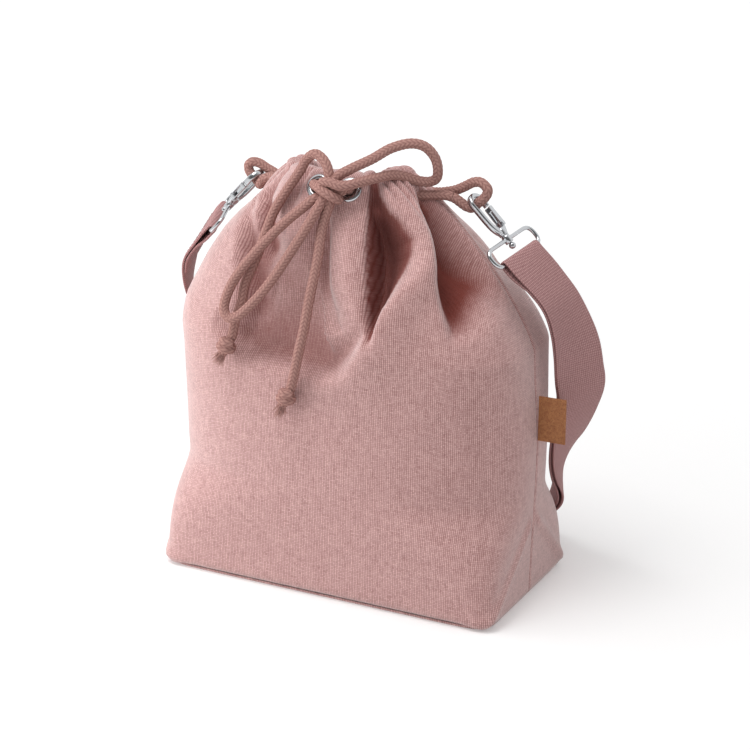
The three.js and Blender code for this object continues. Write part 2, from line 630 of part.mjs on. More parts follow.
// Shoulder strap: places across the webbing, each with its centre, its width direction
// and the direction that its outer face looks in
const strapPlace = (centre, across, face) => ({ centre, across, face });

function strapLoop({ centre, across, face }) {
  const corner = (w, t) => centre.clone()
    .addScaledVector(across, w * STRAP_WIDTH / 2)
    .addScaledVector(face, t * STRAP_THICKNESS / 2);
  return [corner(-1, -1), corner(1, -1), corner(1, 1), corner(-1, 1)];
}

// The ring's lower bar with the webbing folded round it, from the outer to the inner face
const foldRadius = RING_WIRE / 2 + GAP + STRAP_THICKNESS / 2;
function ringFold({ sign, ring }) {
  const bar = ring.origin.clone().addScaledVector(ring.v, -RING_DROP);
  const across = ring.u.clone().multiplyScalar(sign);
  const outer = ring.n;
  return turns(0, Math.PI, 6).map((t) => {
    const face = outer.clone().multiplyScalar(Math.cos(t)).addScaledVector(ring.v, Math.sin(t));
    return strapPlace(bar.clone().addScaledVector(face, foldRadius), across, face);
  });
}

// Half of the hanging strap, from a ring down behind the bag to the flat stretch. Each place is
// measured out from the belly's side, back to the strap's inner edge and up from the floor.
const strapRestY = STRAP_REST_CLEAR + STRAP_WIDTH / 2;
const STRAP_HANG = [
  [1, -16, 233], [11, -12.5, 219], [17, -7, 201], [20, -1, 182], [20, 6, 162], [19, 13, 148],
  [16.5, 22, 127], [13, 33, 104], [9, 46.5, 78], [2, 60, 52], [-12.5, 70, 29], [-37, 76.5, 14],
  [-59, 78, 8],
];
function hangingHalf({ sign, ring }, firstFold) {
  const lead = firstFold.centre.clone().addScaledVector(ring.v, -6);
  const hang = STRAP_HANG.map(([out, back, z]) => vec(sign * (BELLY_WIDTH / 2 + out), back + STRAP_WIDTH / 2, z));
  const flat = [STRAP_FLAT, STRAP_FLAT - STRAP_STEP].map((x) => vec(sign * x, strapRestY, STRAP_REST_HEIGHT));
  const path = new THREE.CatmullRomCurve3([firstFold.centre, lead, ...hang, ...flat], false, 'centripetal');
  const count = Math.round(path.getLength() / STRAP_STEP);
  return turns(0, 1, count).slice(1, -2).map((share) => {
    const heading = path.getTangentAt(share).multiplyScalar(sign);
    const turn = degToRad(STRAP_FACE_TURN) * Math.sin(Math.PI * share);
    const across = vec(sign * Math.sin(turn), Math.cos(turn), 0).lerp(firstFold.across, 1 - ease(share * 4));
    across.addScaledVector(heading, -across.dot(heading)).normalize();
    return strapPlace(path.getPointAt(share), across, heading.cross(across));
  });
}

// The inner layer that lies along the strap, from a ring down to its end
function returnLayer(places, spread) {
  return places.map(({ centre, across, face }, i) => {
    const depth = STRAP_THICKNESS + lerp(STRAP_LAYER_GAP, spread, ease(i / (places.length - 1)));
    const start = 2 * foldRadius;
    const set = i === 0 ? lerp(start, depth, 0.5) : depth;
    return strapPlace(centre.clone().addScaledVector(face, -set), across, face.clone().negate());
  });
}

const flatPlace = (x, lift, faceDown) =>
  strapPlace(vec(x, strapRestY, STRAP_REST_HEIGHT + lift), vec(0, 1, 0), vec(0, 0, faceDown ? -1 : 1));

// Heights above the strap of the slider's core and of the sewn end that goes round it
const coreWrap = SLIDER_CORE + GAP + STRAP_THICKNESS / 2;
const coreLift = STRAP_THICKNESS + GAP + coreWrap;

const rightFold = ringFold(sides.right);
const leftFold = ringFold(sides.left);
const rightHalf = hangingHalf(sides.right, rightFold[0]);
const leftHalf = hangingHalf(sides.left, leftFold[0]);
const flatStretch = [flatPlace(STRAP_FLAT, 0, true), flatPlace(-STRAP_FLAT, 0, true)];
const rightReturn = [
  ...returnLayer(rightHalf, coreLift - STRAP_THICKNESS),
  flatPlace(STRAP_FLAT, coreLift, false),
  flatPlace(SLIDER_X + RETURN_SETBACK, coreLift, false),
];
const leftReturn = returnLayer(leftHalf.slice(0, Math.round(SEWN_RETURN / STRAP_STEP)), STRAP_LAYER_GAP);
const strapPlaces = [
  ...rightReturn.reverse(), ...rightFold.reverse(), ...rightHalf, ...flatStretch,
  ...leftHalf.reverse(), ...leftFold, ...leftReturn,
];
add('shoulder_strap', sweep(strapPlaces.map(strapLoop)), FINISHES.webbing);

// The strap's sewn end, folded round the slider's core with the inner layer between its tails
const endLoop = [
  flatPlace(SLIDER_X + END_LOOP_TAIL, coreLift - coreWrap, true),
  ...turns(0, Math.PI, 6).map((t) => {
    const face = vec(-Math.sin(t), 0, -Math.cos(t));
    return strapPlace(flatPlace(SLIDER_X, coreLift).centre.addScaledVector(face, coreWrap), vec(0, 1, 0), face);
  }),
  flatPlace(SLIDER_X + END_LOOP_TAIL, coreLift + coreWrap, false),
];
add('strap_end_loop', sweep(endLoop.map(strapLoop)), FINISHES.webbing);

// Slider: two rails joined by two bars under the strap and a round core above it
function strapSlider() {
  const inner = STRAP_WIDTH / 2 + STRAP_EDGE_GAP;
  const outer = inner + SLIDER_RAIL;
  const barTop = -STRAP_THICKNESS / 2 - GAP;
  const barFoot = barTop - SLIDER_BAR_HEIGHT;
  const half = SLIDER_LENGTH / 2;
  const rails = [-1, 1].map((s) => block(
    vec(-half, Math.min(s * inner, s * outer), barFoot),
    vec(half, Math.max(s * inner, s * outer), coreLift + SLIDER_CORE),
  ));
  const bars = [-half, half - SLIDER_BAR].map((x) => block(vec(x, -outer, barFoot), vec(x + SLIDER_BAR, outer, barTop)));
  const core = new THREE.CylinderGeometry(SLIDER_CORE, SLIDER_CORE, 2 * outer - 1, 12).translate(0, 0, coreLift);
  return join(rails[0], rails[1], ...bars, core);
}
add('strap_slider', strapSlider().translate(SLIDER_X, strapRestY, STRAP_REST_HEIGHT), FINISHES.nickel);

export default bag;
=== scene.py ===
"""Insulated drawstring lunch bag with a clip-on shoulder strap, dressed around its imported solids.

Shapes are worked out in millimetres in the frame of the solids: +Z up, the front faces -Y, the origin is the
centre of the base's underside. Meshes are written in metres.
"""

import json
import logging
import math
from dataclasses import dataclass, field
from enum import Enum
from typing import Any, Optional, Sequence

import bpy
import numpy as np
from mathutils import Matrix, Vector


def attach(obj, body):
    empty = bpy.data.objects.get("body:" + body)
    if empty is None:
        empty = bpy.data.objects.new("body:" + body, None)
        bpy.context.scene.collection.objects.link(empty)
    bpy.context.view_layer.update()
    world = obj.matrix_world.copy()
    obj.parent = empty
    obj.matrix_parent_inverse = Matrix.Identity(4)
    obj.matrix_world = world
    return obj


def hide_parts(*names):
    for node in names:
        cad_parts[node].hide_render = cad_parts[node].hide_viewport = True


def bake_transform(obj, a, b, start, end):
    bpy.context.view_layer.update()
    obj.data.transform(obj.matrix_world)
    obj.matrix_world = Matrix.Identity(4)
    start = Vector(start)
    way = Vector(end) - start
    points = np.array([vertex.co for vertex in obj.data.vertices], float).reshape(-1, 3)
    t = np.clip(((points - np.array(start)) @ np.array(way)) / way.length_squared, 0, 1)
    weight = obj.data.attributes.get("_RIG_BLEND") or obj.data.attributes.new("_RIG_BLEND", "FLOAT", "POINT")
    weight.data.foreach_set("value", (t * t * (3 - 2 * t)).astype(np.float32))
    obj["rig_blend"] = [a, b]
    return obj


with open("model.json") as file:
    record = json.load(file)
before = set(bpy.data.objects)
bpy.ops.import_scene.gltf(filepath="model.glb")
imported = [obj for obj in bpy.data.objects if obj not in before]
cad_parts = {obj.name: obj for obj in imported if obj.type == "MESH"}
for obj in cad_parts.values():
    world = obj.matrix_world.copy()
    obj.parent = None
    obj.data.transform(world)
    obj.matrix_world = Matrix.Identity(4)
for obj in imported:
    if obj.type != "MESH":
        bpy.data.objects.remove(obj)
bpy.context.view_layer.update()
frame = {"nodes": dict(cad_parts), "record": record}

LOG = logging.getLogger("lunch_bag")
MM = 0.001
Array = np.ndarray
Points = Sequence[Sequence[float]]
FIRST_END, BOTH_ENDS = 1, 2


class Slot(Enum):
    """The record's material slots."""

    CLOTH = "cloth"
    FOAM = "foam"
    LINING = "lining"
    CORD = "cord"
    WEBBING = "webbing"
    NICKEL = "nickel"
    CORK = "cork"


class Side(Enum):
    """The two ends of the bag, as the sign of X."""

    RIGHT = 1
    LEFT = -1

    @property
    def label(self) -> str:
        """The side's name in piece names."""
        return self.name.lower()


# Small numeric helpers


def ease(t: Array) -> Array:
    """Smooth step from 0 to 1."""
    t = np.clip(t, 0.0, 1.0)
    return t * t * (3.0 - 2.0 * t)


def mix(a: Array, b: Array, t: Array) -> Array:
    """Straight blend from a to b."""
    return a + (b - a) * t


def unit(v: Array) -> Array:
    """Vectors scaled to length 1 along the last axis."""
    return v / np.maximum(np.linalg.norm(v, axis=-1, keepdims=True), 1e-12)


def lengths_along(path: Array) -> Array:
    """Length of a polyline up to each of its points."""
    return np.concatenate([[0.0], np.cumsum(np.linalg.norm(np.diff(path, axis=0), axis=1))])


def smooth_path(points: Points, step: float) -> Array:
    """Centripetal Catmull-Rom curve through points, resampled evenly.

    Args:
        points: the points that the curve passes through, in millimetres.
        step: the spacing of the result, in millimetres.

    Returns:
        An (n, 3) array along the curve.
    """
    p = np.asarray(points, float)
    p = p[np.append(np.linalg.norm(np.diff(p, axis=0), axis=1) > step / 2, True)]
    p = np.vstack([2 * p[0] - p[1], p, 2 * p[-1] - p[-2]])
    knots = np.concatenate([[0.0], np.cumsum(np.sqrt(np.linalg.norm(np.diff(p, axis=0), axis=1)))])
    share = np.linspace(0.0, 1.0, 24, endpoint=False)
    k = np.arange(1, len(p) - 2)
    t = (knots[k, None] + share * (knots[k + 1] - knots[k])[:, None]).ravel()
    k = np.repeat(k, len(share))

    def between(i: Array, j: Array, left: Array, right: Array) -> Array:
        w = ((t - knots[i]) / (knots[j] - knots[i]))[:, None]
        return left * (1 - w) + right * w

    a1 = between(k - 1, k, p[k - 1], p[k])
    a2 = between(k, k + 1, p[k], p[k + 1])
    a3 = between(k + 1, k + 2, p[k + 1], p[k + 2])
    b1 = between(k - 1, k + 1, a1, a2)
    b2 = between(k, k + 2, a2, a3)
    fine = np.vstack([between(k, k + 1, b1, b2), p[-2]])
    along = lengths_along(fine)
    at = np.linspace(0.0, along[-1], max(2, int(round(along[-1] / step)) + 1))
    return np.stack([np.interp(at, along, fine[:, i]) for i in range(3)], axis=1)


def path_length(path: Array) -> float:
    """Length of a polyline."""
    return float(np.linalg.norm(np.diff(path, axis=0), axis=1).sum())


def circles(turn: Array, side: Array, up: Array) -> Array:
    """Directions round circles that face along a path, (n, turns, 3)."""
    return np.cos(turn)[None, :, None] * side[:, None] + np.sin(turn)[None, :, None] * up[:, None]


def placed(points: Array, matrix: Array) -> Array:
    """Points carried by a 4 by 4 matrix."""
    return points @ matrix[:3, :3].T + matrix[:3, 3]


def carried_frames(path: Array, first: Sequence[float]) -> tuple[Array, Array]:
    """Frames carried along a path with no twist.

    Args:
        path: the path's points.
        first: the side direction at the start, made square to the path.

    Returns:
        Sides and uprights, each (n, 3).
    """
    tangent = unit(np.gradient(path, axis=0))
    side = np.zeros_like(tangent)
    here = np.asarray(first, float)
    for i, t in enumerate(tangent):
        here = here - t * (here @ t)
        here = here / np.linalg.norm(here)
        side[i] = here
    return side, np.cross(tangent, side)


# Mesh building


def grid_faces(rows: int, cols: int, close_rows: bool, close_cols: bool) -> tuple[Array, Array]:
    """Quads of a grid, as vertex indices and as indices into an unwrapped grid for UVs.

    Args:
        rows: rows of points.
        cols: points in each row.
        close_rows: whether the last row joins the first.
        close_cols: whether each row is a closed loop.

    Returns:
        Two (n, 4) arrays.
    """
    down, round_it = (rows if close_rows else rows - 1), (cols if close_cols else cols - 1)
    i, j = (index.ravel() for index in np.indices((down, round_it)))
    wide = cols + 1
    corner = lambda a, b: (a % rows) * cols + b % cols
    plain = lambda a, b: a * wide + b
    steps = ((0, 0), (0, 1), (1, 1), (1, 0))
    faces = np.stack([corner(i + a, j + b) for a, b in steps], axis=1)
    charts = np.stack([plain(i + a, j + b) for a, b in steps], axis=1)
    return faces, charts


def grid_object(
    name: str,
    points: Array,
    close_rows: bool = False,
    close_cols: bool = False,
    caps: int = 0,
    uv: Optional[Array] = None,
    flip: bool = False,
    values: Optional[dict[str, Array]] = None,
) -> bpy.types.Object:
    """A mesh object from a grid of points.

    Args:
        name: the piece's name.
        points: (rows, cols, 3) in millimetres.
        close_rows: whether the last row joins the first.
        close_cols: whether each row is a closed loop.
        caps: how many ends are closed with a face: none, the first row or the first and last.
        uv: (rows + 1, cols + 1, 2) pattern coordinates in metres, or None.
        flip: whether the faces are turned round.
        values: named numbers for each point, kept as attributes.

    Returns:
        The object, at the origin.
    """
    rows, cols = points.shape[:2]
    faces, charts = grid_faces(rows, cols, close_rows, close_cols)
    if flip:
        faces, charts = faces[:, ::-1], charts[:, ::-1]
    polygons = faces.tolist()
    first, last = np.arange(cols), (rows - 1) * cols + np.arange(cols)
    ends = (first, last[::-1]) if flip else (first[::-1], last)
    polygons += [end.tolist() for end in ends[:caps]]
    mesh = bpy.data.meshes.new(name)
    mesh.from_pydata((points.reshape(-1, 3) * MM).tolist(), [], polygons)
    mesh.polygons.foreach_set("use_smooth", np.ones(len(mesh.polygons), bool))
    if uv is not None:
        flat = np.zeros((len(mesh.loops), 2))
        flat[: charts.size] = uv.reshape(-1, 2)[charts.ravel()]
        mesh.uv_layers.new(name="pattern").data.foreach_set("uv", flat.ravel())
    for key, numbers in (values or {}).items():
        stored = mesh.attributes.new(key, "FLOAT", "POINT").data
        stored.foreach_set("value", numbers.ravel().astype(np.float32))
    mesh.update()
    made = bpy.data.objects.new(name, mesh)
    bpy.context.scene.collection.objects.link(made)
    return made


def chart(u: Array, v: Array, close_rows: bool = False) -> Array:
    """Pattern coordinates in metres from widths across and lengths along, in millimetres."""
    rows = np.append(v, v[-1]) if not close_rows else v
    return np.stack(np.broadcast_arrays(u[None, :], rows[:, None]), axis=-1) * MM


def tube(
    name: str, path: Array, radius: float, sides: int, first: Sequence[float], closed: bool = False
) -> bpy.types.Object:
    """A round tube: circles of the given radius carried along a path."""
    side, up = carried_frames(path, first)
    turn = np.linspace(0, 2 * np.pi, sides, endpoint=False)
    ring = circles(turn, side, up)
    caps = 0 if closed else BOTH_ENDS
    return grid_object(name, path[:, None] + ring * radius, close_rows=closed, close_cols=True, caps=caps)


def bar(
    name: str, path: Array, wide: Array, deep: float, first: Sequence[float],
    square: float = 3.0, sides: int = 28,
) -> bpy.types.Object:
    """A bar with rounded edges: superellipses carried along a path and capped.

    Args:
        name: the piece's name.
        path: (n, 3) centre line.
        wide: half sizes along the carried side direction.
        deep: half sizes along the carried upright.
        first: the side direction at the start.
        square: the superellipse's exponent.
        sides: points round the section.

    Returns:
        The piece.
    """
    side, up = carried_frames(path, first)
    turn = np.linspace(0, 2 * np.pi, sides, endpoint=False)
    c, k = (np.sign(f) * np.abs(f) ** (2 / square) for f in (np.cos(turn), np.sin(turn)))
    a, b = (np.broadcast_to(np.asarray(h, float), (len(path),))[:, None, None] for h in (wide, deep))
    points = path[:, None] + side[:, None] * a * c[None, :, None] + up[:, None] * b * k[None, :, None]
    return grid_object(name, points, close_cols=True, caps=BOTH_ENDS)


def lathe(
    name: str, profile: Points, matrix: Array, sides: int = 48, ring: bool = False
) -> bpy.types.Object:
    """A turned piece: (radius, height) pairs carried round the local Y axis, then placed.

    Args:
        name: the piece's name.
        profile: the pairs, going up on the outside.
        matrix: where the piece's axes lie.
        sides: places round the axis.
        ring: whether the profile closes on itself round a bore, or else is capped.

    Returns:
        The piece.
    """
    r, h = np.asarray(profile, float).T
    turn = np.linspace(0, 2 * np.pi, sides, endpoint=False)
    r, h = r[:, None], h[:, None]
    local = np.stack(np.broadcast_arrays(r * np.cos(turn), h * np.ones(sides), r * np.sin(turn)), axis=-1)
    caps = 0 if ring else BOTH_ENDS
    return grid_object(name, placed(local, matrix), close_rows=ring, close_cols=True, caps=caps, flip=True)


def rounded_outline(corners: Points, radius: float, steps: int = 6) -> Array:
    """A closed outline whose corners are cut by curves that start and end the given distance from each."""
    p = np.asarray(corners, float)
    back, ahead = np.roll(p, 1, 0) - p, np.roll(p, -1, 0) - p
    room = np.minimum(np.linalg.norm(back, axis=1), np.linalg.norm(ahead, axis=1))
    cut = np.minimum(radius, 0.48 * room)[:, None]
    first, last = p + unit(back) * cut, p + unit(ahead) * cut
    t = np.linspace(0, 1, steps)[None, :, None]
    curve = (1 - t) ** 2 * first[:, None] + 2 * t * (1 - t) * p[:, None] + t**2 * last[:, None]
    return curve.reshape(-1, 2)


def rounded_plate(
    name: str, outline: Array, thickness: float, bevel: float, matrix: Array, middle: float = 0.0
) -> bpy.types.Object:
    """A plate with rounded edges: at each face its outline draws in along its normals by a quarter circle.

    Args:
        name: the piece's name.
        outline: (n, 2) points of a closed outline, anticlockwise in the matrix's X and Y.
        thickness: along the matrix's Z.
        bevel: the radius of its edges.
        matrix: where the plate's axes lie.
        middle: the plate's middle along Z.

    Returns:
        The piece.
    """
    along = np.roll(outline, -1, 0) - np.roll(outline, 1, 0)
    inward = unit(np.stack([-along[:, 1], along[:, 0]], axis=1))
    turn = np.linspace(0, np.pi / 2, 5)
    draw, rise = bevel * (1 - np.sin(turn)), bevel * (1 - np.cos(turn)) - thickness / 2
    draw, rise = np.concatenate([draw, draw[::-1]]), np.concatenate([rise, -rise[::-1]]) + middle
    flat = outline[None] + inward[None] * draw[:, None, None]
    local = np.concatenate([flat, np.broadcast_to(rise[:, None, None], (*flat.shape[:2], 1))], axis=2)
    return grid_object(name, placed(local, matrix), close_cols=True, caps=BOTH_ENDS)


def strands(name: str, lines: Array, radius: Array, first: Array, sides: int = 6) -> bpy.types.Object:
    """Many small tubes in one mesh: circles round each line, tapered by radius and capped.

    Args:
        name: the piece's name.
        lines: (count, steps, 3) centre lines.
        radius: (steps,) radii along every line.
        first: (count, 3) directions square to the lines.
        sides: points round each circle.

    Returns:
        The piece, with UVs that differ from strand to strand.
    """
    count, steps = lines.shape[:2]
    heading = unit(lines[:, -1] - lines[:, 0])
    side = unit(first - heading * (first * heading).sum(1, keepdims=True))
    up = np.cross(heading, side)
    turn = np.linspace(0, 2 * np.pi, sides, endpoint=False)
    ring = circles(turn, side, up)
    points = lines[:, :, None] + ring[:, None] * radius[None, :, None, None]
    block = steps * sides
    starts = np.arange(count) * block
    quads = (grid_faces(steps, sides, False, True)[0][None] + starts[:, None, None]).reshape(-1, 4)
    ring_of = starts[:, None] + np.arange(sides)
    caps = np.concatenate([ring_of[:, ::-1], ring_of + block - sides])
    mesh = bpy.data.meshes.new(name)
    mesh.from_pydata((points.reshape(-1, 3) * MM).tolist(), [], quads.tolist() + caps.tolist())
    mesh.polygons.foreach_set("use_smooth", np.ones(len(mesh.polygons), bool))
    stored = mesh.attributes.new("plait", "FLOAT", "POINT").data
    stored.foreach_set("value", np.full(len(mesh.vertices), 0.75, np.float32))
    index = np.zeros(len(mesh.loops), np.int32)
    mesh.loops.foreach_get("vertex_index", index)
    flat = np.stack([index * 0.0004, index * 0.0003], axis=1)
    mesh.uv_layers.new(name="pattern").data.foreach_set("uv", flat.ravel())
    made = bpy.data.objects.new(name, mesh)
    bpy.context.scene.collection.objects.link(made)
    return made


def sewn_row(name: str, path: Array, out: Array, stitch: float = 2.6, gap: float = 0.9) -> bpy.types.Object:
    """A row of stitches along a path: each a thread that rises out of the cloth and dips back in.

    Args:
        name: the piece's name.
        path: (n, 3) line on the cloth's face.
        out: (n, 3) directions out of the cloth.
        stitch: length of each stitch.
        gap: length hidden between stitches.

    Returns:
        The piece.
    """
    along = lengths_along(path)
    starts = np.arange(0, along[-1] - stitch, stitch + gap)
    t = np.linspace(0, 1, 6)
    at = starts[:, None] + stitch * t
    read = lambda values: np.stack([np.interp(at, along, values[:, k]) for k in range(3)], axis=-1)
    rise = read(out) * (0.32 * np.sin(np.pi * t) - 0.12)[None, :, None]
    return strands(name, read(path) + rise, np.full(6, 0.3), read(out)[:, 0])


def place(origin: Array, x: Array, y: Array, z: Array) -> Array:
    """A 4 by 4 matrix from an origin and three directions."""
    matrix = np.eye(4)
    matrix[:3, :3] = np.stack([x, y, z], axis=1)
    matrix[:3, 3] = origin
    return matrix


def modifier(piece: bpy.types.Object, kind: str, **settings: Any) -> bpy.types.Object:
    """Adds a modifier with its settings to a piece."""
    added = piece.modifiers.new(kind.lower(), kind)
    for key, value in settings.items():
        setattr(added, key, value)
    return piece


# Material building


def linear(code: str) -> tuple[float, float, float, float]:
    """Linear RGBA of an sRGB hex colour."""
    value = [int(code[i : i + 2], 16) / 255 for i in (1, 3, 5)]
    return tuple(c / 12.92 if c <= 0.04045 else ((c + 0.055) / 1.055) ** 2.4 for c in value) + (1.0,)


def set_inputs(node: bpy.types.Node, inputs: dict) -> None:
    """Sets or links a node's inputs, given by name or number."""
    for key, value in inputs.items():
        if isinstance(value, bpy.types.NodeSocket):
            node.id_data.links.new(value, node.inputs[key])
        else:
            node.inputs[key].default_value = value


def add_node(
    tree: bpy.types.NodeTree, kind: str, inputs: Optional[dict] = None, out: int | str = 0, **settings: Any
) -> Optional[bpy.types.NodeSocket]:
    """Adds a node with its settings, socket values and links.

    Args:
        tree: the material's or world's node tree.
        kind: the shader node's type.
        inputs: values or output sockets by input name or number.
        out: which output is wanted.
        settings: the node's own properties.

    Returns:
        The output that was asked for, or None from a node with no outputs.
    """
    made = tree.nodes.new("ShaderNode" + kind)
    for key, value in settings.items():
        setattr(made, key, value)
    set_inputs(made, inputs or {})
    return made.outputs[out] if made.outputs else None


def new_material(name: str) -> tuple[bpy.types.Material, bpy.types.NodeTree, bpy.types.Node]:
    """A material with its tree emptied to one Principled shader and its output."""
    material = bpy.data.materials.new(name)
    material.use_nodes = True
    tree = material.node_tree
    tree.nodes.clear()
    shader = add_node(tree, "BsdfPrincipled").node
    add_node(tree, "OutputMaterial", {"Surface": shader.outputs[0]})
    return material, tree, shader


@dataclass(frozen=True)
class LinenCloth:
    """Cotton and linen plain weave, piece dyed: matt, each yarn with its own tone and thick places, with
    shade painted into deep folds and eyelet bores.
    """

    name: str = "linen_plain_weave"
    dark: str = "#8a5c59"
    light: str = "#dab2ae"
    # Painted shade: the darker, redder colour mixed into deep folds and eyelet bores
    deep: str = "#6f3027"
    # Real threads are about 0.6 mm apart; drawn at 1.3 mm so that the weave shows
    thread_mm: float = 1.3
    slub_mm: float = 4.0
    relief_mm: float = 0.2
    nap: float = 0.6

    def yarn(
        self, tree: bpy.types.NodeTree, threads: bpy.types.NodeSocket, warp: bool
    ) -> bpy.types.NodeSocket:
        """Tone of one set of yarns: noise that changes from yarn to yarn and slowly along each."""
        whole = add_node(tree, "VectorMath", {0: threads}, operation="FLOOR")
        step, drawn = 1.37, self.thread_mm / (self.slub_mm * (1.6 if warp else 1.0))
        counted = add_node(tree, "SeparateXYZ", {0: whole}, out=0 if warp else 1)
        run = add_node(tree, "SeparateXYZ", {0: threads}, out=1 if warp else 0)
        number = add_node(tree, "Math", {0: counted, 1: step}, operation="MULTIPLY")
        along = add_node(tree, "Math", {0: run, 1: drawn}, operation="MULTIPLY")
        at = add_node(tree, "CombineXYZ", {0: number, 1: along, 2: 3.5 if warp else 8.5})
        return add_node(tree, "TexNoise", {"Vector": at, "Scale": 1.0, "Detail": 2.0})

    def material(self) -> bpy.types.Material:
        """Warp shows where the product of two sine waves is above 0 and weft where it is below."""
        material, tree, shader = new_material(self.name)
        uv = add_node(tree, "UVMap", uv_map="pattern")
        count = 1 / (self.thread_mm * MM)
        even = add_node(tree, "VectorMath", {0: uv, 1: (count,) * 3}, operation="MULTIPLY")
        drift = add_node(tree, "TexNoise", {"Vector": even, "Scale": 0.2, "Detail": 2.0}, out=1)
        threads = add_node(
            tree, "VectorMath", {0: drift, 1: (0.75,) * 3, 2: even}, operation="MULTIPLY_ADD"
        )
        angle = add_node(tree, "VectorMath", {0: threads, 1: (math.pi,) * 3}, operation="MULTIPLY")
        waves = add_node(tree, "VectorMath", {0: angle}, operation="SINE")
        parts = add_node(tree, "SeparateXYZ", {0: waves}).node.outputs
        weave = add_node(tree, "Math", {0: parts[0], 1: parts[1]}, operation="MULTIPLY")
        upper = add_node(tree, "MapRange", {0: weave, 1: -0.3, 2: 0.3})
        warp, weft = self.yarn(tree, threads, True), self.yarn(tree, threads, False)
        tone = add_node(tree, "Mix", {0: upper, 2: weft, 3: warp}, data_type="FLOAT")
        round_warp, round_weft = (
            add_node(tree, "Math", {0: part}, operation="ABSOLUTE") for part in parts[:2]
        )
        rows = add_node(tree, "Math", {0: round_weft, 1: 0.5, 2: 0.5}, operation="MULTIPLY_ADD")
        crown = add_node(tree, "Math", {0: round_warp, 1: rows}, operation="MULTIPLY")
        shade = add_node(tree, "Math", {0: crown, 1: 0.75, 2: tone}, operation="MULTIPLY_ADD")
        spread = add_node(tree, "MapRange", {0: shade, 1: 0.44, 2: 1.33})
        dyed = add_node(
            tree, "Mix", {0: spread, 6: linear(self.dark), 7: linear(self.light)}, data_type="RGBA", out=2
        )
        # Painted shade: the inside attribute mixes the deep colour in where folds run deep and in the eyelet
        # bores; the sheen fades there too
        inside = add_node(tree, "Attribute", attribute_name="inside", out="Fac")
        colour = add_node(tree, "Mix", {0: inside, 6: dyed, 7: linear(self.deep)}, data_type="RGBA", out=2)
        height = add_node(tree, "Math", {0: crown, 1: 0.6, 2: tone}, operation="MULTIPLY_ADD")
        bump = add_node(tree, "Bump", {"Height": height, "Distance": self.relief_mm * MM, "Strength": 0.9})
        set_inputs(
            shader,
            {"Base Color": colour, "Normal": bump, "Roughness": 0.92, "Specular IOR Level": 0.2},
        )
        nap = add_node(tree, "MapRange", {0: inside, 2: 0.6, 3: self.nap, 4: 0.0})
        set_inputs(shader, {"Sheen Weight": nap, "Sheen Roughness": 0.5})
        return material


@dataclass(frozen=True)
class BraidedCord:
    """Round plaited cotton cord: matt yarn, dark between the strands."""

    name: str = "plaited_cotton_cord"
    gap: str = "#74504a"
    strand: str = "#b0877f"
    yarn_mm: float = 0.7

    def material(self) -> bpy.types.Material:
        """Colour from the height of the plait, with fine noise drawn out along the yarn."""
        material, tree, shader = new_material(self.name)
        height = add_node(tree, "Attribute", attribute_name="plait", out="Fac")
        uv = add_node(tree, "UVMap", uv_map="pattern")
        scale = 1 / (self.yarn_mm * MM)
        yarn = add_node(tree, "VectorMath", {0: uv, 1: (scale, scale * 0.4, 1.0)}, operation="MULTIPLY")
        noise = add_node(tree, "TexNoise", {"Vector": yarn, "Scale": 1.0, "Detail": 3.0})
        shade = add_node(tree, "Math", {0: noise, 1: 0.45, 2: height}, operation="MULTIPLY_ADD")
        ramp = add_node(tree, "MapRange", {0: shade, 1: 0.2, 2: 1.1})
        colour = add_node(
            tree, "Mix", {0: ramp, 6: linear(self.gap), 7: linear(self.strand)}, data_type="RGBA", out=2
        )
        bump = add_node(tree, "Bump", {"Height": noise, "Distance": 0.25 * MM, "Strength": 0.7})
        set_inputs(
            shader,
            {"Base Color": colour, "Normal": bump, "Roughness": 0.95, "Specular IOR Level": 0.15},
        )
        return material


@dataclass(frozen=True)
class StrapWebbing:
    """Woven polyester webbing: ribs along the strap, each a row of short floats."""

    name: str = "polyester_webbing"
    gap: str = "#85595a"
    rib: str = "#c09593"
    rib_mm: float = 1.5
    float_mm: float = 1.8

    def material(self) -> bpy.types.Material:
        """Ribs from a sine across the strap, floats from a slanted one along it that steps rib by rib."""
        material, tree, shader = new_material(self.name)
        uv = add_node(tree, "UVMap", uv_map="pattern")
        scale = (1 / (self.rib_mm * MM), 1 / (self.float_mm * MM), 1.0)
        cell = add_node(tree, "VectorMath", {0: uv, 1: scale}, operation="MULTIPLY")
        parts = add_node(tree, "SeparateXYZ", {0: cell}).node.outputs
        rib_angle = add_node(tree, "Math", {0: parts[0], 1: math.pi}, operation="MULTIPLY")
        rib_wave = add_node(tree, "Math", {0: rib_angle}, operation="SINE")
        rib = add_node(tree, "Math", {0: rib_wave}, operation="ABSOLUTE")
        number = add_node(tree, "Math", {0: parts[0]}, operation="FLOOR")
        shifted = add_node(tree, "Math", {0: number, 1: 0.5, 2: parts[1]}, operation="MULTIPLY_ADD")
        slanted = add_node(tree, "Math", {0: parts[0], 1: 0.35, 2: shifted}, operation="MULTIPLY_ADD")
        turn = add_node(tree, "Math", {0: slanted, 1: math.pi}, operation="MULTIPLY")
        wave = add_node(tree, "Math", {0: turn}, operation="SINE")
        floats = add_node(tree, "Math", {0: wave}, operation="ABSOLUTE")
        height = add_node(tree, "Math", {0: rib, 1: floats}, operation="MULTIPLY")
        noise = add_node(tree, "TexNoise", {"Vector": cell, "Scale": 0.7, "Detail": 2.0})
        shade = add_node(tree, "Math", {0: noise, 1: 0.5, 2: height}, operation="MULTIPLY_ADD")
        ramp = add_node(tree, "MapRange", {0: shade, 1: 0.1, 2: 1.15})
        colour = add_node(
            tree, "Mix", {0: ramp, 6: linear(self.gap), 7: linear(self.rib)}, data_type="RGBA", out=2
        )
        bump = add_node(tree, "Bump", {"Height": height, "Distance": 0.35 * MM, "Strength": 0.8})
        set_inputs(
            shader,
            {"Base Color": colour, "Normal": bump, "Roughness": 0.7, "Specular IOR Level": 0.35},
        )
        return material


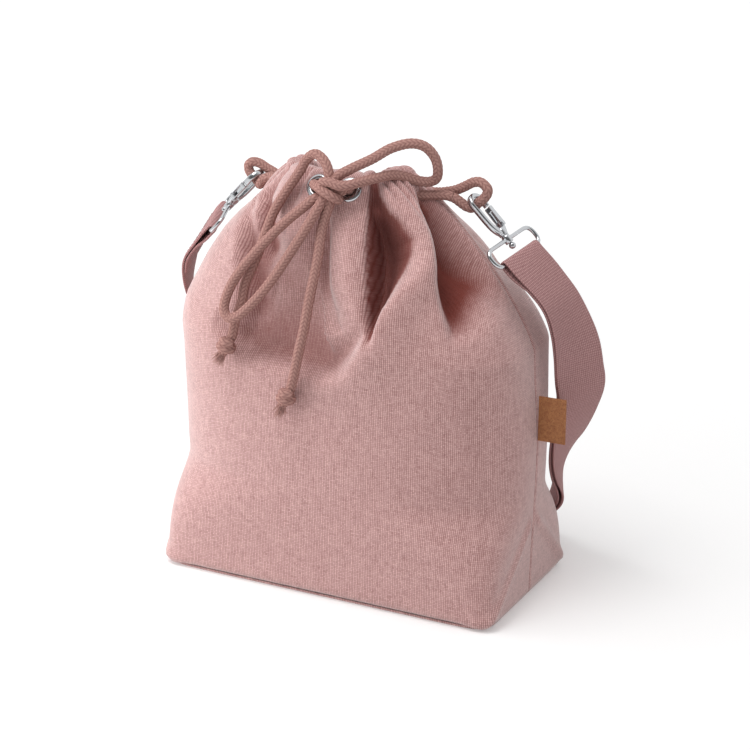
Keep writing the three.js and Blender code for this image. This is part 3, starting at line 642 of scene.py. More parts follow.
@dataclass(frozen=True)
class NickelPlate:
    """Bright nickel plate on cast zinc and steel wire: mirror-like, with faint polishing marks."""

    name: str = "bright_nickel_plate"
    colour: str = "#c6c8cb"
    roughness: float = 0.18
    mark_mm: float = 1.4

    def material(self) -> bpy.types.Material:
        """Noise on Object coordinates varies the polish a little."""
        material, tree, shader = new_material(self.name)
        at = add_node(tree, "TexCoord", out="Object")
        noise = add_node(tree, "TexNoise", {"Vector": at, "Scale": 1 / (self.mark_mm * MM), "Detail": 3.0})
        polish = add_node(tree, "MapRange", {0: noise, 3: self.roughness * 0.7, 4: self.roughness * 1.5})
        set_inputs(shader, {"Roughness": polish, "Base Color": linear(self.colour), "Metallic": 1.0})
        return material


@dataclass(frozen=True)
class CorkCloth:
    """Shaved cork on a cloth back: matt, with light cells and dark flecks."""

    name: str = "cork_cloth"
    dark: str = "#553020"
    body: str = "#8a5432"
    light: str = "#ad7549"
    grain_mm: float = 1.8

    def material(self) -> bpy.types.Material:
        """Cells of two sizes on Object coordinates: a broad one for tone and a fine one for flecks."""
        material, tree, shader = new_material(self.name)
        at = add_node(tree, "TexCoord", out="Object")
        scale = 1 / (self.grain_mm * MM)
        tone = add_node(tree, "TexNoise", {"Vector": at, "Scale": scale, "Detail": 4.0, "Roughness": 0.65})
        fleck = add_node(tree, "TexVoronoi", {"Vector": at, "Scale": scale * 1.7})
        spread = add_node(tree, "MapRange", {0: tone, 1: 0.3, 2: 0.7})
        ground = add_node(
            tree, "Mix", {0: spread, 6: linear(self.body), 7: linear(self.light)}, data_type="RGBA", out=2
        )
        spot = add_node(tree, "MapRange", {0: fleck, 1: 0.12, 2: 0.3})
        colour = add_node(tree, "Mix", {0: spot, 6: linear(self.dark), 7: ground}, data_type="RGBA", out=2)
        bump = add_node(tree, "Bump", {"Height": tone, "Distance": 0.2 * MM, "Strength": 0.6})
        set_inputs(shader, {"Base Color": colour, "Normal": bump, "Roughness": 0.75})
        return material


@dataclass(frozen=True)
class FoilLining:
    """Wipe-clean lining: silver film on fine cloth, quilted by the weave under it."""

    name: str = "silver_film_lining"
    colour: str = "#d3d6da"
    cell_mm: float = 2.2

    def material(self) -> bpy.types.Material:
        """A small woven dimple on UVs and a soft crumple on Object coordinates."""
        material, tree, shader = new_material(self.name)
        uv = add_node(tree, "UVMap", uv_map="pattern")
        at = add_node(tree, "TexCoord", out="Object")
        cell = math.pi / (self.cell_mm * MM)
        angle = add_node(tree, "VectorMath", {0: uv, 1: (cell,) * 3}, operation="MULTIPLY")
        waves = add_node(tree, "VectorMath", {0: angle}, operation="SINE")
        parts = add_node(tree, "SeparateXYZ", {0: waves}).node.outputs
        dimple = add_node(tree, "Math", {0: parts[0], 1: parts[1]}, operation="MULTIPLY")
        crumple = add_node(tree, "TexNoise", {"Vector": at, "Scale": 90.0, "Detail": 3.0})
        height = add_node(tree, "Math", {0: crumple, 1: 6.0, 2: dimple}, operation="MULTIPLY_ADD")
        bump = add_node(tree, "Bump", {"Height": height, "Distance": 0.2 * MM, "Strength": 0.6})
        set_inputs(
            shader,
            {"Normal": bump, "Base Color": linear(self.colour), "Metallic": 0.25, "Roughness": 0.45},
        )
        return material


@dataclass(frozen=True)
class FoamSheet:
    """Closed-cell polyethylene foam: soft white with fine cells."""

    name: str = "polyethylene_foam"
    colour: str = "#e6e3de"
    shade: str = "#cfcac3"
    cell_mm: float = 0.8

    def material(self) -> bpy.types.Material:
        """Fine cells on Object coordinates."""
        material, tree, shader = new_material(self.name)
        at = add_node(tree, "TexCoord", out="Object")
        cells = add_node(tree, "TexVoronoi", {"Vector": at, "Scale": 1 / (self.cell_mm * MM)})
        colour = add_node(
            tree, "Mix", {0: cells, 6: linear(self.shade), 7: linear(self.colour)}, data_type="RGBA", out=2
        )
        bump = add_node(tree, "Bump", {"Height": cells, "Distance": 0.15 * MM, "Strength": 0.5})
        set_inputs(shader, {"Base Color": colour, "Normal": bump, "Roughness": 0.85})
        return material


@dataclass(frozen=True)
class SewingThread:
    """Spun polyester sewing thread, a shade off the piece that it holds."""

    name: str
    colour: str
    ply_mm: float = 0.5

    def material(self) -> bpy.types.Material:
        """Ply twist as fine noise on Object coordinates."""
        material, tree, shader = new_material(self.name)
        at = add_node(tree, "TexCoord", out="Object")
        ply = add_node(tree, "TexNoise", {"Vector": at, "Scale": 1 / (self.ply_mm * MM)})
        bump = add_node(tree, "Bump", {"Height": ply, "Distance": 0.1 * MM, "Strength": 0.5})
        set_inputs(shader, {"Normal": bump, "Base Color": linear(self.colour), "Roughness": 0.6})
        return material


def dress(piece: bpy.types.Object, material: bpy.types.Material, body: str) -> bpy.types.Object:
    """Gives a piece its material and lets it ride on a body."""
    piece.data.materials.append(material)
    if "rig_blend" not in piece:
        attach(piece, body)
    LOG.info("%s: %d faces on %s", piece.name, len(piece.data.polygons), body)
    return piece


# Bag body


def towards_back(turn: Array) -> Array:
    """Grows from 0 near the side seams to 1 at the middle of the back."""
    return ease((np.sin(turn) - 0.15) / 0.85)


@dataclass(frozen=True)
class BagOutline:
    """The bag's smooth outline: at each height a superellipse with its own centre, sizes and exponent."""

    base_width: float = 264.0
    base_depth: float = 139.0
    belly_width: float = 270.0
    belly_height: float = 115.0
    shoulder_width: float = 262.0
    shoulder_depth: float = 143.0
    shoulder_height: float = 182.0
    mouth_width: float = 84.0
    mouth_depth: float = 62.0
    rim_height: float = 298.0
    dome: float = 1.25
    mouth_shift: tuple[float, float] = (-8.0, -4.0)
    corner_height: float = 82.0
    corner_ease: float = 0.7
    squareness: tuple[float, float, float, float] = (16.0, 2.7, 3.3, 2.2)

    def section(self, z: Array) -> tuple[Array, Array, Array, Array, Array]:
        """Centre, half width, half depth and exponent at each height."""
        z = np.asarray(z, float)
        rise = ease(z / self.belly_height)
        taper = ease((z - self.belly_height) / (self.shoulder_height - self.belly_height))
        corner = ease(z / self.corner_height) ** self.corner_ease
        t = np.clip((z - self.shoulder_height) / (self.rim_height - self.shoulder_height), 0, 1)
        gather = 1 - (1 - t**self.dome) ** (1 / self.dome)
        width = mix(mix(self.base_width, self.belly_width, rise), self.shoulder_width, taper)
        depth = mix(self.base_depth, self.shoulder_depth, ease(z / self.shoulder_height))
        base, belly, shoulder, mouth = self.squareness
        square = mix(mix(base, belly, corner), shoulder, taper)
        return (
            self.mouth_shift[0] * gather,
            self.mouth_shift[1] * gather,
            mix(width, self.mouth_width, gather) / 2,
            mix(depth, self.mouth_depth, gather) / 2,
            mix(square, mouth, gather),
        )

    def point(self, z: Array, turn: Array, inset: Array = 0.0, lift: Array = 0.0) -> Array:
        """Points of the wall: (cos turn, sin turn) scaled out to the superellipse of height z.

        Args:
            z: heights of the outline, any shape that broadcasts with turn.
            turn: turn round the bag, 0 at the right seam and -90 degrees at the front.
            inset: how far inside the outline.
            lift: added to the height of the point.

        Returns:
            Points with a last axis of 3.
        """
        cx, cy, a, b, n = self.section(z)
        c, s = np.cos(turn), np.sin(turn)
        reach = (np.abs(c) ** n + np.abs(s) ** n) ** (-1 / n)
        x = cx + (a - inset) * reach * c
        y = cy + (b - inset) * reach * s
        return np.stack(np.broadcast_arrays(x, y, z + lift), axis=-1)

    def front(self, x: float, z: float) -> Array:
        """The point of the outline's front at a place across the bag."""
        cx, cy, a, b, n = self.section(z)
        return np.array([x, cy - b * (1 - abs((x - cx) / a) ** n) ** (1 / n), z])

    def front_normal(self, x: float, z: float) -> Array:
        """The outward direction of the outline's front."""
        across = self.front(x + 1, z) - self.front(x - 1, z)
        up = self.front(x, z + 1) - self.front(x, z - 1)
        return unit(np.cross(across, up))


class Flank(Enum):
    """How a fold's side runs out into the panel."""

    BELL = "rounded, as a bell of the given width"
    RAMP = "half a wave, to a crest at the given width"


@dataclass(frozen=True)
class Fold:
    """A fold pressed into a panel along a line.

    Each row of line is (x, z, depth, width before, width after). Depth is inwards, below 0 a bulge.
    On a line that runs down the panel, before is its left side and after its right, seen from the front.
    """

    line: tuple[tuple[float, float, float, float, float], ...]
    after: Flank = Flank.BELL
    # Painted shade: how much of the deep colour a fold's bottom takes, and the depth over which it grows in
    painted_shade_share: float = 0.42
    painted_shade_depth: float = 14.0

    def painted_fold_shade(self, x: Array, z: Array) -> Array:
        """Share of the painted shade colour: the fold's depth paints in the darker, redder shade that light
        has after meeting the cloth many times in the fold.
        """
        return self.painted_shade_share * ease((self.depth(x, z) - 1.5) / self.painted_shade_depth)

    def depth(self, x: Array, z: Array) -> Array:
        """How far the fold presses each place (x, z) of the panel inwards."""
        rows = np.asarray(self.line, float)
        fine = smooth_path(np.column_stack([rows[:, 0], np.zeros(len(rows)), rows[:, 1]]), 1.2)
        along = lengths_along(fine)
        near = np.array([np.argmin(np.hypot(fine[:, 0] - r[0], fine[:, 2] - r[1])) for r in rows])
        values = np.stack([np.interp(along, along[near], rows[:, k]) for k in (2, 3, 4)], axis=1)
        flat = np.stack([x.ravel(), z.ravel()], axis=1)
        line = fine[:, ::2]
        gap = (flat**2).sum(1)[:, None] + (line**2).sum(1)[None] - 2 * flat @ line.T
        best = gap.argmin(1)
        step = np.gradient(line, axis=0)[best]
        offset = flat - line[best]
        side = step[:, 0] * offset[:, 1] - step[:, 1] * offset[:, 0]
        far = np.linalg.norm(offset, axis=1)
        press, before, after = values[best].T
        bell = np.exp(-((far / np.where(side < 0, before, after)) ** 2))
        ramp = 0.5 + 0.5 * np.cos(np.pi * np.clip(far / after, 0, 1))
        share = np.where((side >= 0) & (self.after is Flank.RAMP), ramp, bell)
        return (press * share).reshape(x.shape)


# Folds of the front, from the mouth down
FRONT_FOLDS = (
    # Pocket right of the column under the right eyelet: a steep left wall, a right flank up to a crest
    Fold(
        (
            (22.5, 298, 5, 1.8, 6), (26, 286, 13, 2, 8), (29, 275, 22, 2.2, 16), (31, 266, 29, 2.4, 27),
            (32, 258, 34, 2.4, 35), (33.8, 248, 36, 2.4, 34), (35.3, 238, 34, 2.4, 28),
            (36.8, 228, 29, 2.3, 20), (38.3, 216, 21, 2.2, 12), (40.3, 204, 11, 2.2, 7),
            (41, 192, 1, 2, 5),
        ),
        Flank.RAMP,
        painted_shade_share=0.8,
        painted_shade_depth=5,
    ),
    # Pocket right of the ridge, running down the right shoulder
    Fold(
        (
            (45, 298, 6, 2, 8), (52, 288, 13, 2.2, 14), (66, 272, 25, 2.5, 28), (72, 264, 29, 2.6, 36),
            (80, 248, 31, 2.8, 42), (83, 238, 28, 3, 40), (88, 225, 21, 3.4, 34), (95, 210, 11, 4, 26),
            (99, 197, 1, 5, 18),
        ),
        Flank.RAMP,
        painted_shade_share=0.94,
        painted_shade_depth=15,
    ),
    # Rounded pleat between the two pockets
    Fold(
        (
            (34, 298, -3, 7, 6), (42, 288, -4.5, 8, 5.5), (55, 273, -5.5, 9, 5.5), (63, 264, -5.5, 9, 5),
            (70, 254, -5, 8, 5), (73, 243, -4, 8, 6), (72, 232, -2, 8, 8),
        )
    ),
    # Flat column under the right eyelet, proud of its neighbours, with a lip along the first pocket
    Fold(
        (
            (12, 280, -0.5, 9, 9), (16, 266, -3.5, 10, 10), (20, 248, -4.5, 11, 10),
            (24, 230, -4.5, 11, 9), (29, 212, -3.5, 10, 8), (34, 196, -0.5, 9, 7),
        )
    ),
    # Lit crest of the belly, below and right of the first pocket
    Fold(
        (
            (72, 252, -1, 6, 8), (69, 241, -4, 6, 12), (61, 229, -7.5, 6, 16), (51, 213, -8.5, 6, 20),
            (41, 194, -7.5, 7, 22), (26, 177, -5.5, 9, 24), (4, 159, -1.5, 10, 24), (-12, 147, 0, 10, 22),
        )
    ),
    # Recess over the belly, from the left shoulder to the column's foot, running out upwards under the bow
    Fold(
        (
            (-86, 190, 0.5, 7, 16), (-74, 188, 6, 7, 26), (-62, 184, 12, 8, 40), (-48, 180, 16, 9, 54),
            (-32, 179, 17, 9, 62), (-16, 178, 17, 9, 60), (0, 176, 15, 9, 48), (12, 176, 12, 8, 30),
            (24, 186, 8, 7, 16), (33, 197, 3, 5, 8),
        ),
        Flank.RAMP,
    ),
    # Hollow under the bow, from upper left down to the column's foot
    Fold(
        (
            (-56, 258, 2, 10, 10), (-42, 243, 7, 12, 13), (-26, 229, 8, 13, 15), (-12, 217, 7, 13, 14),
            (6, 206, 4, 11, 11), (24, 197, 1, 8, 9),
        )
    ),
    # Fold down the column's left side
    Fold(
        (
            (-6, 284, 1.5, 8, 3), (-2, 264, 7, 12, 3), (0, 240, 10, 14, 3.4), (3, 224, 8, 14, 4),
            (12, 211, 2, 12, 4.5),
        )
    ),
    # Crease from the left of the mouth, under the left strand
    Fold(
        (
            (-50, 292, 2, 3, 8), (-62, 278, 9, 3, 12), (-59, 260, 13, 3.5, 15), (-53, 247, 10, 4, 15),
            (-47, 234, 1, 6, 12),
        ),
        painted_shade_share=0.6,
        painted_shade_depth=10,
    ),
    # Valley between the full left shoulder and the bow
    Fold(
        (
            (-72, 266, 3, 4, 10), (-70, 252, 10, 4.5, 13), (-66, 240, 14, 5, 16), (-60, 226, 15, 6, 17),
            (-56, 210, 13, 7, 17), (-57, 194, 7, 8, 15), (-60, 178, 1, 9, 12),
        ),
        painted_shade_share=0.55,
        painted_shade_depth=13,
    ),
    # Full left shoulder
    Fold(
        (
            (-80, 268, -0.5, 8, 8), (-94, 248, -3.5, 11, 11), (-106, 232, -4, 12, 12),
            (-118, 216, -4, 13, 13), (-122, 202, -4, 14, 14), (-127, 184, -1, 14, 14),
        )
    ),
)

# Folds of the back: gathers that fan out from the mouth and die out over the shoulder
BACK_FOLDS = (
    Fold(
        (
            (-46, 288, 3, 5, 9), (-62, 262, 8, 6, 14), (-78, 232, 6, 8, 16), (-88, 196, 0, 8, 14),
        )
    ),
    Fold(
        (
            (-24, 294, 3, 7, 4), (-30, 268, 9, 14, 5), (-34, 238, 8, 16, 7), (-36, 200, 0, 14, 8),
        )
    ),
    Fold(
        (
            (2, 294, 3, 4, 9), (6, 266, 8, 5, 14), (12, 240, 7, 7, 15), (20, 206, 0, 8, 14),
        )
    ),
    Fold(
        (
            (28, 290, 3, 8, 5), (42, 264, 9, 13, 6), (58, 236, 7, 15, 7), (70, 200, 0, 14, 8),
        )
    ),
    Fold(
        (
            (54, 284, 2, 5, 8), (78, 256, 7, 6, 13), (94, 226, 4, 8, 14), (104, 196, 0, 8, 12),
        )
    ),
)


@dataclass
class BagBody:
    """Outer cloth, hem, foam and lining."""

    outline: BagOutline
    cloth: float = 1.2
    foam: float = 3.0
    lining: float = 0.6
    foot: float = 1.5
    edge_radius: float = 6.0
    roll_height: float = 296.0
    roll_inset: float = 6.5
    roll_rise: float = 4.0
    hem_inset: float = 13.4
    hem_drop: float = 20.0
    hem_columns: int = 320
    hem_rows: int = 30
    mouth_radius: float = 38.0
    gathers: int = 31
    gather_depth: float = 1.6
    # Heights from which gathers and slump set in, and the heights over which they grow
    gather_over: tuple[float, float] = (258.0, 36.0)
    dip_over: tuple[float, float] = (232.0, 64.0)
    eyelet_middle: float = -1.5
    eyelet_spacing: float = 23.6
    eyelet_height: float = 289.5
    eyelet_bore: float = 4.0
    eyelet_clamp: float = 8.5
    columns: int = 300
    rows: int = 146
    back_dip: float = 14.0
    channel_room: float = 11.0
    cord_room: float = 4.2
    roll_rows: int = 9
    layer_columns: int = 121
    layer_girth: float = 720.0
    layer_gap: float = 0.5
    floor_rings: int = 14
    foam_packed: float = 2.4
    foam_top: float = 270.0
    lining_top: float = 272.0
    base_columns: int = 240
    base_rings: int = 24
    base_inset: float = 4.2

    def eyelet_places(self) -> list[float]:
        """Where the two eyelets lie across the front."""
        return [self.eyelet_middle + s * self.eyelet_spacing / 2 for s in (-1, 1)]

    def wall_rows(self) -> tuple[Array, Array, Array]:
        """Outline height, inset and lift of each row, from the foot up and over the rolled rim."""
        t = np.linspace(0, 1, self.rows)
        z = self.foot + (self.roll_height - self.foot) * (1 - (1 - t) ** 1.22)
        tuck = np.clip(1 - (z - self.foot) / self.edge_radius, 0, 1)
        inset = self.edge_radius * (1 - np.sqrt(1 - tuck**2)) * 0.8
        s = np.linspace(0, 1, self.roll_rows + 1)[1:] * np.pi / 2
        heights = np.concatenate([z, np.full(len(s), self.roll_height)])
        insets = np.concatenate([inset, self.roll_inset * (1 - np.cos(s))])
        lifts = np.concatenate([np.zeros(len(z)), self.roll_rise * np.sin(s)])
        return heights, insets, lifts

    def ruffle(self, turn: Array, z: Array) -> Array:
        """Gathers at the mouth: narrow valleys round the rim whose spacing wanders, fading out below it."""
        wander = turn + 0.2 * np.sin(2 * turn + 0.7) + 0.11 * np.sin(5 * turn + 2.1)
        valley = (1 - np.abs(np.sin(self.gathers * wander / 2))) ** 1.5
        wave = 2.0 * valley - 0.45 + 0.4 * np.sin(0.37 * self.gathers * wander + 1.3)
        start, over = self.gather_over
        return self.gather_depth * wave * ease((z - start) / over) ** 1.4

    def dip(self, turn: Array, z: Array) -> Array:
        """How far the mouth slumps at the back, fading out down the wall and towards the side seams."""
        start, over = self.dip_over
        return self.back_dip * towards_back(turn) * ease((z - start) / over)

    @staticmethod
    def seam_fade(turn: Array) -> Array:
        """How far folds run on towards the side seams: whole over the front and back, none at the seams."""
        return ease(np.abs(np.sin(turn)) / 0.3)[None, :]

    def channel_press(self, turn: Array, z: float) -> Array:
        """How far the folds push the channel's inside past the room that the cord leaves."""
        at = self.outline.point(np.full(len(turn), z), turn)
        front = np.sin(turn) < 0
        x, room = at[:, 0], self.channel_room
        press = [sum(fold.depth(x, at[:, 2]) for fold in folds) for folds in (FRONT_FOLDS, BACK_FOLDS)]
        press = room * np.tanh(np.where(front, *press) / room) * self.eyelet_mask(at)
        near = np.max([np.interp(turn + k * 0.03, turn, press) for k in range(-3, 4)], axis=0)
        return np.maximum(0.0, near - self.cord_room)

    def eyelet_mask(self, points: Array) -> Array:
        """1 away from the eyelets, 0 where they clamp the cloth flat."""
        mask = np.ones(points.shape[:-1])
        for x in self.eyelet_places():
            seat = self.outline.front(x, self.eyelet_height)
            far = np.linalg.norm(points - seat, axis=-1)
            mask = np.minimum(mask, ease((far - self.eyelet_clamp) / 9.0))
        return mask

    def eyelet_pits(self, points: Array) -> Array:
        """The cloth turned in through each eyelet's bore."""
        seats = [self.outline.front(x, self.eyelet_height) for x in self.eyelet_places()]
        far = np.min([np.linalg.norm(points - seat, axis=-1) for seat in seats], axis=0)
        return 6.5 * (1 - ease((far - self.eyelet_bore) / 1.4))

    @staticmethod
    def corner_crease(points: Array) -> Array:
        """The ridge that runs from each side seam down to the boxed corners, on the short side."""
        x, y, z = np.moveaxis(points, -1, 0)
        far = np.abs((z - 64.0) * 0.743 + np.abs(y) * 0.669)
        ridge = -2.4 * np.exp(-((far / 3.6) ** 2))
        return ridge * ease((np.abs(x) - 104.0) / 22.0) * ease((72.0 - z) / 14.0)

    @staticmethod
    def loop_dip(points: Array) -> Array:
        """The cloth gives way under the left side loop, which leaves the loop room to swing over."""
        x, y, z = np.moveaxis(points, -1, 0)
        return 6.0 * np.exp(-(((z - 272.5) / 7.5) ** 2) - ((y + 4.0) / 11.0) ** 2) * (x < 0)

    def panel_points(self, turn: Array, folds: Sequence[Fold], layer: float = 0.0) -> Array:
        """The grid of a panel with its folds.

        Args:
            turn: turns of the panel's columns.
            folds: the folds pressed into it.
            layer: how far inside the outer face, along the outline's normal.

        Returns:
            Points (rows, columns, 3).
        """
        heights, insets, lifts = self.wall_rows()
        drop = self.dip(turn[None, :], heights[:, None])
        smooth = self.outline.point(heights[:, None], turn[None, :], insets[:, None], lifts[:, None] - drop)
        normal = unit(np.cross(np.gradient(smooth, axis=1), np.gradient(smooth, axis=0)))
        normal[self.rows - 2 :] = normal[self.rows - 3]
        x, z = smooth[..., 0], smooth[..., 2] + drop
        press = sum(fold.depth(x, z) for fold in folds)
        room = mix(60.0, self.channel_room, ease((z - 266.0) / 14.0))
        press = room * np.tanh(press / room) * self.seam_fade(turn) + self.corner_crease(smooth)
        press = press + self.ruffle(turn[None, :] + 0 * z, z)
        press = press * self.eyelet_mask(smooth) + (0 if layer else self.eyelet_pits(smooth))
        seam = np.minimum(np.abs(np.sin(turn)), 0.2)[None, :] * 70.0
        press = press * ease(seam / 9.0) + 0.8 * np.exp(-((seam / 1.3) ** 2)) + self.loop_dip(smooth)
        if layer:
            press = self.settled(press) + layer
        return smooth - normal * press[..., None]

    @staticmethod
    def settled(press: Array, reach: int = 4) -> Array:
        """The press of a layer behind the cloth: the deepest within reach, then its average."""
        for pool in (np.max, np.mean):
            for axis in (0, 1):
                pad = [(reach, reach) if k == axis else (0, 0) for k in (0, 1)]
                near = np.pad(press, pad, mode="edge")
                count = press.shape[axis]
                press = pool([near.take(range(k, k + count), axis) for k in range(2 * reach + 1)], axis=0)
        return press

    def panel(self, name: str, turn: Array, folds: Sequence[Fold]) -> bpy.types.Object:
        """One panel of outer cloth, with its thickness inside."""
        points = self.panel_points(turn, folds)
        heights, insets, lifts = (row[:, None] for row in self.wall_rows())
        smooth = self.outline.point(heights, turn[None, :], insets, lifts)
        steps = ((np.diff(smooth, axis=axis, prepend=smooth.take([0], axis)), axis) for axis in (1, 0))
        across, along = (np.cumsum(np.linalg.norm(step, axis=-1), axis=axis) for step, axis in steps)
        across = across - across[:, [len(turn) // 2]]
        uv = np.pad(np.stack([across, along], axis=-1) * MM, ((0, 1), (0, 1), (0, 0)), mode="edge")
        # Painted shade: deep folds take the deep colour, and the cloth in each eyelet's bore is painted
        # almost wholly in it
        tone = np.max([fold.painted_fold_shade(smooth[..., 0], smooth[..., 2]) for fold in folds], axis=0)
        tone = tone * self.seam_fade(turn)
        inside = np.maximum(tone * self.eyelet_mask(smooth), 0.9 * (self.eyelet_pits(points) > 3.0))
        piece = grid_object(name, points, uv=uv, values={"inside": inside})
        return modifier(piece, "SOLIDIFY", thickness=self.cloth * MM, offset=-1.0)

    def hem(self) -> bpy.types.Object:
        """The hem from the top of the rim down the inside of the mouth, closing the cord's channel."""
        turn = np.linspace(0, 2 * np.pi, self.hem_columns, endpoint=False)
        s = np.linspace(0, 1, self.hem_rows)
        over = ease(s * 2.2) * np.pi / 2
        inset = self.roll_inset + (self.hem_inset - self.roll_inset) * np.sin(over)
        lift = self.roll_rise * np.cos(over) - self.hem_drop * ease((s - 0.25) / 0.75)
        top = np.full((self.hem_rows, 1), self.roll_height)
        fall = lift[:, None] - self.dip(turn[None, :], top)
        smooth = self.outline.point(top, turn[None, :], inset[:, None], fall)
        out = unit(smooth - smooth.mean(axis=1, keepdims=True))
        rim = [self.panel_points(turn, folds)[-1] for folds in (FRONT_FOLDS, BACK_FOLDS)]
        moved = np.where(np.sin(turn)[:, None] < 0, *rim) - smooth[0]
        shift = self.channel_press(turn, 284.0)[None, :] * ease(s * 1.6)[:, None]
        points = smooth + moved[None] * (1 - 0.6 * ease(s))[:, None, None] - out * shift[..., None]
        ring = np.append(turn, 2 * np.pi) * self.mouth_radius
        along = lengths_along(points[:, 0])
        piece = grid_object("mouth_hem", points, close_cols=True, uv=chart(ring, along))
        return modifier(piece, "SOLIDIFY", thickness=self.cloth * MM, offset=-1.0)

    def layer(self, name: str, depth: float, thickness: float, top: float) -> bpy.types.Object:
        """A closed layer inside the cloth: the wall and the floor of the foam or the lining in one."""
        half = np.linspace(np.pi, 2 * np.pi, self.layer_columns)
        front = self.panel_points(half, FRONT_FOLDS, depth)
        back = self.panel_points(half - np.pi, BACK_FOLDS, depth)
        rows = front[:, self.layer_columns // 2, 2] < top
        wall = np.concatenate([front[rows][:, :-1], back[rows][:, :-1]], axis=1)[2:]
        wall[..., 2] = np.maximum(wall[..., 2], self.foot + depth)
        centre = wall[0].mean(axis=0)
        share = np.linspace(0, 1, self.floor_rings)[1:-1, None, None]
        floor = mix(centre, wall[0], share)
        floor[..., 2] = self.foot + depth
        points = np.concatenate([floor, wall])
        along = lengths_along(points[:, 0])
        around = np.linspace(0, self.layer_girth, points.shape[1] + 1)
        piece = grid_object(name, points, close_cols=True, caps=FIRST_END, uv=chart(around, along))
        return modifier(piece, "SOLIDIFY", thickness=thickness * MM, offset=-1.0)

    def base(self) -> bpy.types.Object:
        """The base panel: the base's outline drawn in to its middle, its edge turned up to the walls."""
        turn = np.linspace(0, 2 * np.pi, self.base_columns, endpoint=False)
        share = np.concatenate([np.linspace(0.02, 0.97, self.base_rings), [0.985, 0.995, 1.0]])
        lift = np.concatenate([np.zeros(self.base_rings), [0.1, 0.7, 1.8]])
        edge = self.outline.point(np.zeros(1), turn[None, :], self.base_inset)
        points = edge * share[:, None, None]
        points[..., 2] = lift[:, None]
        uv = points[:, list(range(self.base_columns)) + [0], :2] * MM
        uv = np.concatenate([uv, uv[-1:]])
        piece = grid_object("base_cloth", points, close_cols=True, uv=uv, flip=True)
        return modifier(piece, "SOLIDIFY", thickness=self.cloth * MM, offset=-1.0)

    def build(self, finishes: dict[str, bpy.types.Material]) -> None:
        """Builds and dresses the body's pieces, and hides the solids that they stand for."""
        half = np.linspace(np.pi, 2 * np.pi, self.columns)
        front = self.panel("front_cloth", half, FRONT_FOLDS)
        back = self.panel("back_cloth", half - np.pi, BACK_FOLDS)
        hem, base = self.hem(), self.base()
        behind = self.cloth + self.layer_gap
        foam = self.layer("foam_liner", behind, self.foam_packed, self.foam_top)
        lining = self.layer("lining", behind + self.foam, self.lining, self.lining_top)
        for piece, nodes in (
            (front, ("front_panel",)),
            (back, ("back_panel",)),
            (hem, ("mouth_facing_front", "mouth_facing_back")),
            (base, ("base_panel",)),
            (foam, ("insulation_wall", "insulation_base")),
            (lining, ("lining_wall", "lining_base")),
        ):
            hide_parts(*nodes)
        for piece in (front, back, hem, base):
            dress(piece, finishes["cloth"], "bag")
        dress(foam, finishes["foam"], "bag")
        dress(lining, finishes["lining"], "bag")


# Ends of the strap


def turned_about(v: Array, axis: Array, degrees: float) -> Array:
    """A direction turned about an axis of length 1."""
    c, k = math.cos(math.radians(degrees)), math.sin(math.radians(degrees))
    return v * c + np.cross(axis, v) * k + axis * (axis @ v) * (1 - c)


@dataclass(frozen=True)
class StrapEnd:
    """Axes at one end of the strap: U across, V from the ring to the hook's tip and N through both."""

    side: Side
    ring_twist: float
    hook_twist: float = 6.0
    reach: float = 109.0
    height: float = 258.0
    slope: float = 45.0

    def axes(self, twist: float) -> Array:
        """The matrix of U, V and N with the swivel as its origin, turned about V by a twist."""
        sign, slope = self.side.value, math.radians(self.slope)
        v = np.array([-sign * math.cos(slope), 0.0, math.sin(slope)])
        u = turned_about(np.array([0.0, float(sign), 0.0]), v, -twist)
        return place(np.array([sign * self.reach, 0.0, self.height]), u, v, np.cross(u, v))


RIGHT_END = StrapEnd(Side.RIGHT, 18.0)
LEFT_END = StrapEnd(Side.LEFT, -22.0)


# Drawcord


